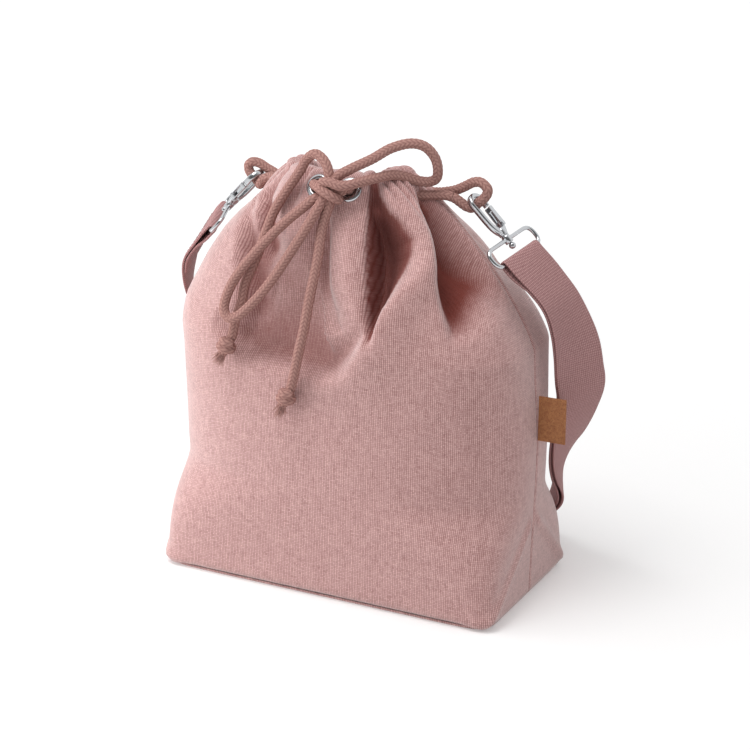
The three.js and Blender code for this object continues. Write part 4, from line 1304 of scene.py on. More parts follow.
@dataclass
class Drawcord:
    """The cord round the mouth: runs in the channel, side loops through the hooks, laces and bow."""

    outline: BagOutline
    bag: BagBody
    diameter: float = 7.0
    sides: int = 40
    ring_step: float = 0.6
    plait_pitch: float = 3.0
    plait_depth: float = 0.42
    plait_columns: int = 8
    run_height: float = 284.1
    run_inset: float = 9.2
    # Turns at which the runs start beside an eyelet and end short of a side seam
    run_from: float = 0.54
    run_short: float = 0.42
    slump: float = 0.9
    leg_height: float = 284.0
    # How far out the bend of each side loop begins, on its upper and lower leg
    bend_from: dict[Side, tuple[float, float]] = field(
        default_factory=lambda: {Side.RIGHT: (78.5, 70.05), Side.LEFT: (77.2, 76.3)}
    )

    def braided(self, name: str, path: Array, start: float = 0.0) -> bpy.types.Object:
        """A plaited tube: columns of slanted strands round it, leaning each way in turn.

        Args:
            name: the piece's name.
            path: its centre line, in millimetres.
            start: length of cord before the path, so that a plait carries on from one piece to the next.

        Returns:
            The tube, with the height of its plait as an attribute.
        """
        side, up = carried_frames(path, (0.2, 1.0, 0.35))
        turn = np.linspace(0, 2 * np.pi, self.sides, endpoint=False)
        along = start + lengths_along(path)
        column = turn / (2 * np.pi) * self.plait_columns
        number, place_in = np.floor(column), column - np.floor(column)
        lean = np.where(number % 2 == 0, 1.0, -1.0)
        phase = along[:, None] / self.plait_pitch + (lean * (place_in - 0.5) * 0.85 + number * 0.5)[None, :]
        strand = np.abs(np.sin(np.pi * phase)) ** 0.7
        crown = np.sin(np.pi * np.clip(place_in, 0.02, 0.98)) ** 0.5
        height = strand * (0.45 + 0.55 * crown)[None, :]
        radius = self.diameter / 2 - self.plait_depth * (1 - height)
        ring = circles(turn, side, up)
        points = path[:, None] + ring * radius[..., None]
        round_it = np.append(turn, 2 * np.pi) * self.diameter / 2
        uv = chart(round_it, along)
        return grid_object(name, points, close_cols=True, caps=BOTH_ENDS, uv=uv, values={"plait": height})

    def run(self, turn: Array) -> Array:
        """A stretch of the cord in the channel, which slumps at the back with the mouth."""
        drop = self.slump * self.bag.back_dip * towards_back(turn)
        around = np.linspace(0, 2 * np.pi, 721)
        press = self.bag.channel_press(around, self.run_height)
        inset = self.run_inset + np.interp(turn % (2 * np.pi), around, press)
        return self.outline.point(np.full(len(turn), self.run_height), turn, inset, -drop)

    def lay(
        self,
        name: str,
        path: Array,
        far_end: str,
        material: bpy.types.Material,
        lay: str,
        nodes: Sequence[str],
        blend: Optional[tuple[str, str, Points, Points]] = None,
        start: float = 0.0,
        with_pieces: Sequence[bpy.types.Object] = (),
    ) -> bpy.types.Object:
        """Args:
            name: the piece's name.
            path: its centre line in millimetres, from its exit.
            far_end: what its far end is; not used.
            material: the cord's finish.
            lay: how it lies; not used.
            nodes: the solids that it stands for.
            blend: two bodies that it bends between, with the start and end of the bend, or None on the bag.
            start: length of cord before it.
            with_pieces: pieces on it; not used.

        Returns:
            The cord.
        """
        piece = self.braided(name, path, start)
        if blend:
            a, b, first, last = blend
            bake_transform(piece, a, b, tuple(np.asarray(first) * MM), tuple(np.asarray(last) * MM))
        if nodes:
            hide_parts(*nodes)
        dress(piece, material, "bag")
        return piece

    def tail_knot(self, label: str, foot: Array, tip: Array) -> list[bpy.types.Object]:
        """An overhand knot at a tail's end, wound one and a half turns round it, with a frayed tip."""
        axis = unit(tip - foot)
        side = unit(np.cross(axis, (0.0, 1.0, 0.2)))
        up = np.cross(axis, side)
        t = np.linspace(0, 1, 90)
        angle = t * 2 * np.pi * 1.75 + 0.6
        swell = 3.0 + 0.7 * np.sin(np.pi * t)
        rise = 1.0 + 11.0 * t + 1.2 * np.sin(2 * np.pi * t)
        out = side * (swell * np.cos(angle))[:, None] + up * (swell * np.sin(angle))[:, None]
        wound = foot + axis * rise[:, None] + out
        knot = self.braided(f"tail_wrap_{label}", smooth_path(wound[::6], self.ring_step))
        core = smooth_path([foot - axis, foot + axis * 6, foot + axis * 13], self.ring_step)
        heart = self.braided(f"tail_heart_{label}", core)
        return [knot, heart, self.fray(label, foot + axis * 12.0, axis, side, up)]

    @staticmethod
    def fray(label: str, foot: Array, axis: Array, side: Array, up: Array) -> bpy.types.Object:
        """Loose yarn ends: thin tapering strands that spread from the cord's cut end."""
        rng = np.random.default_rng(7 if label == "left" else 11)
        count, t = 64, np.linspace(0, 1, 5)
        angle = rng.uniform(0, 2 * np.pi, count)
        spread = np.sqrt(rng.uniform(0, 1, count))
        length = rng.uniform(6.5, 11.0, count)
        flare = rng.uniform(0.3, 1.5, count)
        out = side * np.cos(angle)[:, None] + up * np.sin(angle)[:, None]
        curl = rng.normal(0, 0.7, (count, 3))
        reach = (spread * 2.9)[:, None] + (spread * flare * 2.4)[:, None] * t**1.5
        lines = foot + axis * (length[:, None] * t)[..., None] + out[:, None] * reach[..., None]
        lines = lines + curl[:, None] * (t**2)[None, :, None]
        return strands(f"tail_fray_{label}", lines, 0.36 * (1 - 0.75 * t), out, sides=5)

    def build(self, material: bpy.types.Material, eyelets: Sequence[float], eyelet_height: float) -> None:
        """Builds the laces and bow, the side loops and the runs in the channel."""
        self.build_bow(material, eyelets, eyelet_height)
        self.build_loops(material)

    def build_bow(self, material: bpy.types.Material, eyelets: Sequence[float], height: float) -> None:
        """The two laces, each from its eyelet through the knot, round a loop and back out as a tail."""
        left, right = (self.outline.front(x, height) for x in eyelets)
        left_out, right_out = (self.outline.front_normal(x, height) for x in eyelets)
        left_lace = [
            left - left_out * 5, left, left + left_out * 5.5,
            # Across the front of the knot and round under it
            (-8.5, -51.5, 292.8), (-1.5, -57.0, 291.8), (5.5, -57.2, 288.6), (8.6, -52.5, 285.4),
            (4.5, -47.8, 284.6), (-2.2, -50.8, 286.2),
            # Down the left loop and back up
            (-8.0, -57.0, 284.6), (-14.2, -59.2, 279.2), (-26.7, -62.8, 268.0), (-39.4, -67.0, 254.4),
            (-53.4, -71.0, 237.6), (-62.1, -74.6, 223.9), (-66.3, -78.0, 210.7), (-65.3, -80.2, 204.5),
            (-61.0, -81.2, 201.2), (-55.0, -81.2, 203.0), (-42.0, -78.0, 215.5), (-31.5, -72.6, 230.0),
            (-22.1, -67.4, 246.0), (-12.5, -63.9, 262.0), (-5.2, -61.2, 275.0), (-1.6, -56.8, 284.0),
            # Up through the knot, over the arch and down the left tail
            (0.4, -52.0, 292.0), (0.8, -50.4, 300.0), (-3.6, -48.0, 308.7), (-12.5, -45.5, 312.8),
            (-20.0, -44.5, 307.8), (-23.4, -44.5, 302.0), (-28.5, -44.5, 294.8), (-34.0, -46.0, 286.5),
            (-41.8, -50.2, 272.0), (-45.7, -56.2, 257.0), (-50.5, -62.2, 239.0), (-56.3, -66.6, 223.0),
            (-57.5, -70.0, 210.0), (-61.0, -72.6, 198.7), (-63.0, -75.0, 185.2),
        ]
        right_lace = [
            right - right_out * 5, right, right + right_out * 5.0,
            # Behind the band to the knot's left, over its top and out as the right loop
            (8.0, -49.0, 289.6), (1.0, -50.5, 288.8), (-4.0, -52.5, 291.6), (-1.4, -55.2, 296.4),
            (5.0, -56.2, 297.2), (11.0, -55.6, 295.6), (17.0, -53.0, 296.2), (22.4, -46.0, 297.4),
            (29.2, -36.0, 298.8), (35.4, -26.0, 299.5), (40.3, -21.0, 298.4), (48.9, -14.0, 294.6),
            (55.4, -9.6, 293.8), (60.3, -9.5, 296.5), (62.2, -11.0, 302.5), (60.9, -13.0, 311.1),
            (55.5, -17.0, 318.8), (48.0, -22.0, 321.3), (36.8, -29.0, 318.5), (26.0, -37.0, 311.5),
            (14.4, -45.0, 305.2), (7.0, -49.4, 300.2),
            # Down through the knot and out as the right tail
            (3.6, -51.6, 293.0), (2.8, -53.2, 283.6), (-0.2, -54.4, 273.0), (-1.7, -55.6, 266.7),
            (-2.2, -63.2, 242.0), (-4.1, -68.8, 223.0), (-6.6, -74.6, 197.6), (-9.5, -76.4, 183.0),
            (-12.0, -77.0, 170.5), (-15.4, -77.6, 156.6),
        ]
        ends = {
            "left": (np.array([-63.6, -75.6, 184.6]), np.array([-73.6, -77.2, 167.6])),
            "right": (np.array([-15.8, -78.2, 155.6]), np.array([-26.8, -79.4, 133.2])),
        }
        nodes = {
            "left": ("lace_left", "bow_knot", "bow_loop_left", "bow_tail_left"),
            "right": ("lace_right", "bow_loop_right", "bow_tail_right"),
        }
        for label, route in (("left", left_lace), ("right", right_lace)):
            knots = self.tail_knot(label, *ends[label])
            for piece in knots:
                dress(piece, material, "bag")
            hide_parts(f"tail_knot_{label}")
            path = smooth_path([np.asarray(p, float) for p in route], self.ring_step)
            name, stands_for = f"lace_and_bow_{label}", nodes[label]
            self.lay(name, path, "knot", material, "hanging", stands_for, with_pieces=knots)

    def build_loops(self, material: bpy.types.Material) -> None:
        """The side loops: two legs out of the channel on each side, and the bend that holds the hook."""
        routes = {
            Side.RIGHT: (
                (59, 3.5, 284.3), (68, 3.4, 286.5), (76, 2.8, 290.3), (83, 1.6, 294), (89, 0.5, 294.5),
                (94, 0, 290), (92.3, 0, 285.3), (87.2, 0, 280.6), (82.8, -0.2, 276.8), (79, -1.2, 277.6),
                (75, -2.4, 280.4), (71, -3.8, 283.2), (66, -5.2, 284.6), (56, -6.5, 284),
            ),
            Side.LEFT: (
                (-71, 3.5, 284.3), (-79, 3.4, 287.6), (-84.4, 2.2, 290.8), (-88.6, 0.6, 291.6),
                (-91.8, 0, 289.2), (-91.4, 0, 284.8), (-87.2, 0, 280.6), (-83.8, -0.3, 277.2),
                (-81.6, -2.4, 276.6), (-79.2, -4.8, 278.4), (-75.2, -6.2, 282.4), (-69, -6.5, 284),
            ),
        }
        # Where each loop starts and ends twisting with its hook, and the length over which its legs turn
        twists = {
            Side.RIGHT: ((76.9, 0, 290.1), (84.0, 0, 283.0), 14.0),
            Side.LEFT: ((-86, 0, 281), (-90, 0, 277), 16.0),
        }
        for side, route in routes.items():
            sign = side.value
            whole = smooth_path(route, self.ring_step)
            tip = int(np.abs(whole[:, 0]).argmax())
            first, last, leg_turn = twists[side]
            clear = np.flatnonzero(np.abs(whole[:, 0]) < self.bend_from[side][0])
            clear_below = np.flatnonzero(np.abs(whole[:, 0]) < self.bend_from[side][1])
            split = (int(clear[clear < tip].max()), int(clear_below[clear_below > tip].min()))
            back_turn = np.linspace(np.pi / 2, np.pi / 2 * (1 - sign) + sign * self.run_short, 12)
            front_end = 2 * np.pi - np.pi / 2 * (1 - sign) - sign * self.run_short
            front_turn = np.linspace(np.pi * 1.5 + sign * self.run_from, front_end, 10)
            back_leg = [*whole[: split[0] + 1 : 6], whole[split[0]]]
            front_leg = [*whole[split[1] :: 6][::-1], whole[split[1]]]
            back_run = smooth_path([*self.run(back_turn), *back_leg], self.ring_step)
            front_run = smooth_path([*self.run(front_turn), *front_leg], self.ring_step)
            middle = whole[split[0] : split[1] + 1]
            begins = sign * float(np.abs(middle[[0, -1], 0]).min())
            bend_over = ((begins - sign * leg_turn, 0, self.leg_height), (begins, 0, self.leg_height))
            name = side.label
            self.lay(
                f"channel_back_{name}", back_run, "object", material, "taut",
                ("drawcord_run_back", f"side_loop_{name}"), blend=("bag", "strap", *bend_over),
            )
            self.lay(
                f"channel_front_{name}", front_run, "object", material, "taut",
                (f"drawcord_run_{name}",), blend=("bag", "strap", *bend_over),
            )
            self.lay(
                f"loop_bend_{name}", middle, "object", material, "taut", (),
                blend=("strap", f"{name}_hook", first, last), start=path_length(back_run),
            )


# Shoulder strap and its hardware


@dataclass
class Ribbon:
    """Places along webbing: centres, directions across it and directions out of its face, each (n, 3)."""

    centre: Array
    across: Array
    face: Array

    def part(self, rows: slice) -> "Ribbon":
        """Some of the places, or all of them backwards."""
        return Ribbon(self.centre[rows], self.across[rows], self.face[rows])

    @staticmethod
    def joined(parts: Sequence["Ribbon"]) -> "Ribbon":
        """Several stretches end to end."""
        keys = ("centre", "across", "face")
        return Ribbon(*(np.concatenate([getattr(p, key) for p in parts]) for key in keys))

    def along(self) -> Array:
        """Length up to each place."""
        return lengths_along(self.centre)


@dataclass
class ShoulderStrap:
    """Webbing folded round both rings, doubled on the right up to its slider, hanging behind the bag."""

    width: float = 38.0
    thickness: float = 1.6
    step: float = 2.4
    ring_drop: float = 14.0
    wire: float = 3.0
    gap: float = 0.3
    layer_gap: float = 0.7
    face_turn: float = 34.0
    foot_turn: float = 31.0
    rest_y: float = 97.0
    rest_height: float = 6.5
    slider_x: float = 15.0
    slider_core: float = 1.0
    sewn_return: float = 45.0
    tail_from: float = 16.0
    end_reach: float = 30.0
    row_offset: float = 15.0

    @property
    def fold_radius(self) -> float:
        """Radius of the webbing's middle round a ring's bar."""
        return self.wire / 2 + self.gap + self.thickness / 2

    @property
    def core_wrap(self) -> float:
        """Radius of the webbing's middle round the slider's core."""
        return self.slider_core + self.gap + self.thickness / 2

    @property
    def core_lift(self) -> float:
        """Height of the slider's core over the strap's middle."""
        return self.thickness + self.gap + self.core_wrap

    def ring_fold(self, end: StrapEnd) -> Ribbon:
        """Half a turn of webbing round a ring's lower bar, from the outer face to the inner."""
        axes = end.axes(end.ring_twist)
        u, v, n = axes[:3, :3].T
        t = np.linspace(0, np.pi, 15)[:, None]
        face = n * np.cos(t) + v * np.sin(t)
        centre = axes[:3, 3] - v * self.ring_drop + face * self.fold_radius
        return Ribbon(centre, np.broadcast_to(u * end.side.value, face.shape), face)

    def hanging_half(self, end: StrapEnd, fold: Ribbon) -> Ribbon:
        """From a ring down behind the bag to the flat stretch; its face turns out and back as it hangs."""
        sign = end.side.value
        v = end.axes(end.ring_twist)[:3, 1]
        hang = np.array(
            [
                (136, 3, 233), (146, 6.5, 219), (152, 12, 201), (155, 18, 182), (155, 25, 162),
                (154, 32, 148), (147.5, 41, 127), (139, 52, 104), (129, 65.5, 78), (120.5, 79, 52),
                (106, 89, 29), (88, 95.5, 14), (72, 97, 8), (60, 97, 6.5), (46, 97, 6.5),
            ]
        ) * (sign, 1, 1)
        path = smooth_path([fold.centre[0], fold.centre[0] - v * 6, *hang], self.step)
        share = np.linspace(0, 1, len(path))[:, None]
        heading = unit(np.gradient(path, axis=0)) * sign
        bells = ((160.0, 58.0), (60.0, 26.0))
        high, low = (np.exp(-(((path[:, 2:] - at) / reach) ** 2)) for at, reach in bells)
        turn = np.radians(self.face_turn * high - self.foot_turn * low)
        across = np.concatenate([sign * np.sin(turn), np.cos(turn), np.zeros_like(turn)], axis=1)
        across = mix(across, fold.across[0], 1 - ease(share * 4))
        across = unit(across - heading * (across * heading).sum(1, keepdims=True))
        whole = Ribbon(path, across, np.cross(heading, across))
        return whole.part(slice(2, len(path) - round(15 / self.step)))

    def inner_layer(self, half: Ribbon, spread: float) -> Ribbon:
        """The layer inside the strap, from a ring down: it closes up below the ring, then spreads."""
        along = half.along()
        depth = self.thickness + mix(self.layer_gap, spread, ease(along / along[-1]))
        depth = mix(2 * self.fold_radius, depth, ease(along / 16.0))
        return Ribbon(half.centre - half.face * depth[:, None], half.across, -half.face)

    def flat(self, first: float, last: float, lift: float, down: bool) -> Ribbon:
        """A stretch that lies on the floor, between two places across."""
        x = np.linspace(first, last, max(2, round(abs(last - first) / self.step)))
        ones = np.ones(len(x))
        centre = np.stack([x, self.rest_y * ones, (self.rest_height + lift) * ones], axis=1)
        return Ribbon(centre, np.outer(ones, (0, 1, 0)), np.outer(ones, (0, 0, -1 if down else 1)))

    def webbing(self, name: str, run: Ribbon) -> bpy.types.Object:
        """Webbing along a run: a flat section with rounded, slightly thicker selvedges."""
        half, thick = self.width / 2, self.thickness / 2
        w = np.concatenate([[-half + 0.5], np.linspace(-half + 1.6, half - 1.6, 15), [half - 0.5]])
        bead = thick * np.where(np.abs(w) > half - 1.0, 0.86, np.where(np.abs(w) > half - 2.0, 1.12, 1.0))
        across = np.concatenate([w, [half], w[::-1], [-half]])
        out = np.concatenate([-bead, [0], bead[::-1], [0]])
        sideways, outward = run.across[:, None] * across[:, None], run.face[:, None] * out[:, None]
        points = run.centre[:, None] + sideways + outward
        u = np.append(across, across[0]) + half
        return grid_object(name, points, close_cols=True, caps=BOTH_ENDS, uv=chart(u, run.along()))

    def box_stitch(self, name: str, half: Ribbon) -> bpy.types.Object:
        """A sewn box with its diagonals on the strap's outer face below a ring."""
        top, foot, side = 9.0, self.sewn_return - 8.0, self.width / 2 - 4.0
        corners = [(top, -side), (foot, -side), (foot, side), (top, side), (top, -side), (foot, side)]
        more = [(foot, -side), (top, side)]
        line = [np.linspace(a, b, 60) for a, b in zip(corners[:-1], corners[1:])] + [np.linspace(*more, 60)]
        s, w = np.concatenate(line).T
        read = lambda values: np.stack([np.interp(s, half.along(), values[:, k]) for k in range(3)], axis=-1)
        face = unit(read(half.face))
        path = read(half.centre) + read(half.across) * w[:, None] + face * self.thickness / 2
        return sewn_row(name, path, face)

    def build(self, finishes: dict[str, bpy.types.Material]) -> None:
        """Builds the strap, its sewn end round the slider and the stitching."""
        right_fold, left_fold = self.ring_fold(RIGHT_END), self.ring_fold(LEFT_END)
        right, left = self.hanging_half(RIGHT_END, right_fold), self.hanging_half(LEFT_END, left_fold)
        back = slice(None, None, -1)
        doubled = self.inner_layer(right, self.core_lift - self.thickness)
        kept = int(np.searchsorted(left.along(), self.sewn_return))
        sewn = self.inner_layer(left.part(slice(0, kept)), self.layer_gap)
        ends_at = abs(float(right.centre[-1, 0]))
        run = Ribbon.joined(
            [
                self.flat(self.slider_x + self.tail_from, ends_at - self.step, self.core_lift, False),
                doubled.part(back),
                right_fold.part(back),
                right,
                self.flat(ends_at - self.step, self.step - ends_at, 0.0, True),
                left.part(back),
                left_fold,
                sewn,
            ]
        )
        strap = self.webbing("strap_webbing", run)
        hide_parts("shoulder_strap")
        dress(strap, finishes["webbing"], "strap")
        float(run.along()[-1]) * MM
        box = self.box_stitch("left_box_stitch", left)
        dress(box, finishes["strap_thread"], "strap")
        t = np.linspace(0, np.pi, 13)[:, None]
        face = np.concatenate([-np.sin(t), 0 * t, -np.cos(t)], axis=1)
        core = np.array([self.slider_x, self.rest_y, self.rest_height + self.core_lift])
        wrap = Ribbon(core + face * self.core_wrap, np.broadcast_to((0.0, 1.0, 0.0), face.shape), face)
        near, far = self.slider_x + 1, self.slider_x + self.end_reach
        low = self.flat(far, near, self.core_lift - self.core_wrap, True)
        high = self.flat(near, far, self.core_lift + self.core_wrap, False)
        end_run = Ribbon.joined([low, wrap, high])
        tail = self.webbing("strap_sewn_end", end_run)
        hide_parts("strap_end_loop")
        dress(tail, finishes["webbing"], "slider")
        float(end_run.along()[-1]) * MM
        edge = high.part(slice(8, None))
        for sign in (-1, 1):
            row = edge.centre + edge.across * sign * self.row_offset + edge.face * self.thickness / 2
            seam = sewn_row(f"sewn_end_row_{'back' if sign > 0 else 'front'}", row, edge.face)
            dress(seam, finishes["strap_thread"], "slider")


@dataclass
class StrapHardware:
    """Rings, swivel snap hooks and slider in nickel plate."""

    strap: ShoulderStrap
    ring_half: float = 24.0
    ring_corner: float = 7.0
    boss: float = 3.0
    stud: float = 1.3
    ball: float = 2.4
    stud_length: float = 7.2
    thickness: float = 4.6
    eye: float = 4.5
    arm: float = 3.6
    eye_top: float = 31.0
    nose: float = 26.3
    pivot: tuple[float, float] = (5.6, 11.4)
    gate_top: float = 25.7
    rail_half: float = 13.0
    rail_thickness: float = 2.4
    rung_depth: float = 2.0

    def hook_line(self) -> Array:
        """Middle of the cast J in U and V: from the foot up the back, over the eye and down to the nose."""
        middle, turn = self.eye + self.arm / 2, np.linspace(np.pi, 0, 17)
        over = np.stack([middle * np.cos(turn), self.eye_top + middle * np.sin(turn)], axis=1)
        foot = [(-0.8, 5.4), (-3.4, 8.0), (-5.4, 12.0), (-6.2, 17.0), (-middle, 24.0)]
        line = np.concatenate([foot, over, [(middle, self.nose)]])
        return smooth_path(np.column_stack([line, np.zeros(len(line))]), 0.7)

    def hook(self, end: StrapEnd) -> list[bpy.types.Object]:
        """The hook's cast body: the J, the barrel round the stud and the lug that carries the gate."""
        axes, label = end.axes(end.hook_twist), end.side.label
        line = self.hook_line()
        along = lengths_along(line)
        swell, taper = 1 + 0.5 * ease(1 - along / 14.0), 1 - 0.22 * ease((along - along[-1] + 6.0) / 6.0)
        wide = self.arm / 2 * swell * taper
        across = np.cross(axes[:3, 2], axes[:3, 1])
        cast = bar(f"hook_cast_{label}", placed(line, axes), wide, self.thickness / 2, across)
        barrel = lathe(
            f"hook_barrel_{label}",
            [(1.7, 3.2), (2.9, 3.2), (3.3, 3.6), (3.4, 6.8), (3.0, 8.4), (2.0, 9.2), (0.1, 9.4)], axes,
        )
        u, v = self.pivot
        lug = rounded_outline(
            [
                (1.0, 4.4), (4.6, 4.4), (u + 2.1, v - 1.6), (u + 2.1, v + 1.2),
                (u + 1.0, v + 2.1), (u - 1.0, v + 2.1), (u - 2.1, v + 1.2), (u - 2.1, v - 2.4),
            ],
            1.0,
        )
        plate = rounded_plate(f"hook_lug_{label}", lug, 2.6, 0.4, axes)
        return [cast, barrel, plate]

    def gate(self, end: StrapEnd) -> list[bpy.types.Object]:
        """The gate: two cheeks joined by a web at top and foot, with a window for the spring."""
        axes, label = end.axes(end.hook_twist), end.side.label
        u, v = self.pivot
        outer, top = u + 2.6, self.gate_top
        cheek = rounded_outline(
            [(u - 1.9, v - 2.1), (outer, v - 2.1), (outer, top), (u - 1.2, top), (u - 1.9, v + 4)], 1.5
        )
        cheeks = [
            rounded_plate(f"gate_cheek_{label}_{k}", cheek, 0.8, 0.25, axes, middle=m)
            for k, m in (("front", 1.9), ("back", -1.9))
        ]
        x, y, z = axes[:3, :3].T
        turned = place(axes[:3, 3] + x * (outer - 0.35), z, y, -x)
        half = self.thickness / 2
        webs = []
        for part, low, high in (("top", top - 3.4, top), ("foot", v - 0.6, v + 2.4)):
            web = rounded_outline([(-half, low), (half, low), (half, high), (-half, high)], 0.9)
            webs.append(rounded_plate(f"gate_web_{part}_{label}", web, 0.9, 0.35, turned))
        return [*cheeks, *webs]

    def ring(self, end: StrapEnd) -> list[bpy.types.Object]:
        """The ring: wire bent to a rounded rectangle, with a bored boss on its top bar."""
        axes, label = end.axes(end.ring_twist), end.side.label
        half, drop = self.ring_half, self.strap.ring_drop
        corners = [(-half, -drop), (half, -drop), (half, 0.0), (-half, 0.0)]
        bend = rounded_outline(corners, self.ring_corner, 14)
        closed = np.vstack([bend, bend[:1]])
        along = lengths_along(closed)
        at = np.linspace(0, along[-1], 160, endpoint=False)
        flat = np.stack([np.interp(at, along, closed[:, k]) for k in (0, 1)] + [np.zeros(160)], axis=1)
        wire = tube(
            f"ring_wire_{label}", placed(flat, axes), self.strap.wire / 2, 20, axes[:3, 2], closed=True
        )
        b, bore = self.boss, self.stud + 0.3
        profile = [(bore, -b), (b - 0.4, -b), (b, -b + 0.4), (b, b - 0.4), (b - 0.4, b), (bore, b)]
        return [wire, lathe(f"ring_boss_{label}", profile, axes, ring=True)]

    def swivel(self, end: StrapEnd) -> list[bpy.types.Object]:
        """The stud with its ball end, and the rivet that the gate turns on."""
        axes, label = end.axes(end.hook_twist), end.side.label
        seat = -self.boss - 0.3
        turn = np.linspace(-1.5, 1.0, 12)
        r, s, top = self.ball, self.stud, self.stud_length
        ball = np.stack([r * np.cos(turn), seat - r * 0.85 + r * np.sin(turn)], axis=1)
        shank = [(s, seat), (s, top - 0.3), (s - 0.3, top)]
        stud = lathe(f"swivel_stud_turned_{label}", [*ball, *shank], axes, 32)
        x, y, z = axes[:3, :3].T
        rivet_axes = place(axes[:3, 3] + x * self.pivot[0] + y * self.pivot[1], y, z, x)
        head = [(0.1, 3.2), (1.0, 3.1), (1.7, 2.85), (1.9, 2.6), (1.25, 2.58)]
        profile = [(r, -h) for r, h in head] + head[::-1]
        return [stud, lathe(f"gate_rivet_{label}", profile, rivet_axes, 32)]

    def slider(self) -> list[bpy.types.Object]:
        """The slider: two rails joined by two bars under the strap and a round core above it."""
        strap = self.strap
        origin = np.array([strap.slider_x, strap.rest_y, strap.rest_height])
        axes = place(origin, np.array([1.0, 0, 0]), np.array([0, 0, 1.0]), np.array([0, -1.0, 0]))
        inner = strap.width / 2 + 0.5
        half, thick, deep = self.rail_half, self.rail_thickness, self.rung_depth
        top, foot = strap.core_lift + strap.slider_core, -strap.thickness / 2 - strap.gap - deep
        rail = rounded_outline([(-half, foot), (half, foot), (half, top), (-half, top)], 1.6)
        made = [
            rounded_plate(f"slider_rail_{label}", rail, thick, 0.7, axes, middle=sign * (inner + thick / 2))
            for label, sign in (("front", 1), ("back", -1))
        ]
        for label, x in (("left", -half), ("right", half - thick)):
            rung = [(x, foot), (x + thick, foot), (x + thick, foot + deep), (x, foot + deep)]
            rung = rounded_outline(rung, 0.5)
            made.append(rounded_plate(f"slider_bar_{label}", rung, 2 * inner + 2, 0.3, axes))
        ends = np.array([[0, -inner - 1.6, strap.core_lift], [0, inner + 1.6, strap.core_lift]]) + origin
        made.append(tube("slider_core_rod", smooth_path(ends, 2.0), strap.slider_core, 20, (1, 0, 0)))
        return made

    def build(self, nickel: bpy.types.Material) -> None:
        """Builds and dresses the hardware of both ends and the slider."""
        for end in (RIGHT_END, LEFT_END):
            label = end.side.label
            groups = (
                (self.hook(end), f"hook_body_{label}", f"{label}_hook"),
                (self.gate(end), f"hook_gate_{label}", f"{label}_gate"),
                (self.ring(end), f"strap_ring_{label}", "strap"),
            )
            for pieces, node, body in groups:
                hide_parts(node)
                for piece in pieces:
                    dress(piece, nickel, body)
            stud, rivet = self.swivel(end)
            for piece, node in ((stud, f"swivel_stud_{label}"), (rivet, f"gate_pin_{label}")):
                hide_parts(node)
                dress(piece, nickel, f"{label}_hook")
        rails = self.slider()
        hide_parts("strap_slider")
        for piece in rails:
            dress(piece, nickel, "slider")


@dataclass
class Trim:
    """Eyelets and the side tab."""

    outline: BagOutline
    flange: float = 8.5
    bore: float = 4.4
    tab_width: float = 20.0
    tab_height: float = 32.0
    tab_middle: float = 135.0
    tab_thickness: float = 1.6

    def eyelet(self, label: str, x: float, z: float) -> bpy.types.Object:
        """A pressed ring: a domed flange that rolls over into its barrel."""
        out = self.outline.front_normal(x, z)
        across = unit(np.cross((0.0, 0.0, 1.0), out))
        axes = place(self.outline.front(x, z), across, out, np.cross(across, out))
        f, b = self.flange, self.bore
        profile = [
            (b + 0.9, -5.0), (b + 0.9, -0.2), (f - 0.3, 0.0), (f, 0.25), (f - 0.1, 0.7), (f - 0.9, 1.15),
            (f - 2.0, 1.5), (f - 3.0, 1.45), (b + 0.4, 0.9), (b + 0.05, 0.2), (b, -0.8), (b, -5.0),
        ]
        return lathe(f"eyelet_ring_{label}", profile, axes, 64, ring=True)

    def tab(self) -> bpy.types.Object:
        """A strip of cork cloth folded double, its fold outwards and its two layers showing at the ends."""
        seam = float(self.outline.section(np.linspace(119, 151, 9))[2].max()) + 0.3
        half, slit = self.tab_thickness / 2, 0.07
        w = self.tab_width
        outside = [(0, -half), (w, -half), (w, half), (0, half)]
        between = [(0, slit), (w - half, slit), (w - half, -slit), (0, -slit)]
        outline = rounded_outline([*outside, *between], 0.75)
        axes = place(np.array([seam, 0.0, self.tab_middle]), *np.eye(3))
        return rounded_plate("cork_tab_folded", outline, self.tab_height, 0.06, axes)

    def build(
        self, finishes: dict[str, bpy.types.Material], eyelets: Sequence[float], height: float
    ) -> None:
        """Builds and dresses the eyelets and the tab."""
        for label, x in zip(("left", "right"), eyelets):
            ring = self.eyelet(label, x, height)
            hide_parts(f"eyelet_{label}")
            dress(ring, finishes["nickel"], "bag")
        tab = self.tab()
        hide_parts("side_tab")
        dress(tab, finishes["cork"], "bag")


# Studio


@dataclass(frozen=True)
class SoftBox:
    """A square lamp in metres and watts, which metal may mirror or not."""

    name: str
    at: tuple[float, float, float]
    aim: tuple[float, float, float]
    size: float
    power: float
    mirrored: bool

    def build(self) -> None:
        """Hangs the lamp and aims it."""
        data = bpy.data.lights.new(self.name, "AREA")
        data.size, data.energy = self.size, self.power
        made = bpy.data.objects.new(self.name, data)
        made.visible_camera, made.visible_glossy = False, self.mirrored
        bpy.context.scene.collection.objects.link(made)
        at = np.asarray(self.at, float)
        back = unit(at - np.asarray(self.aim, float))
        right = unit(np.cross((0, 0, 1), back))
        made.matrix_world = Matrix(place(at, right, np.cross(back, right), back).tolist())


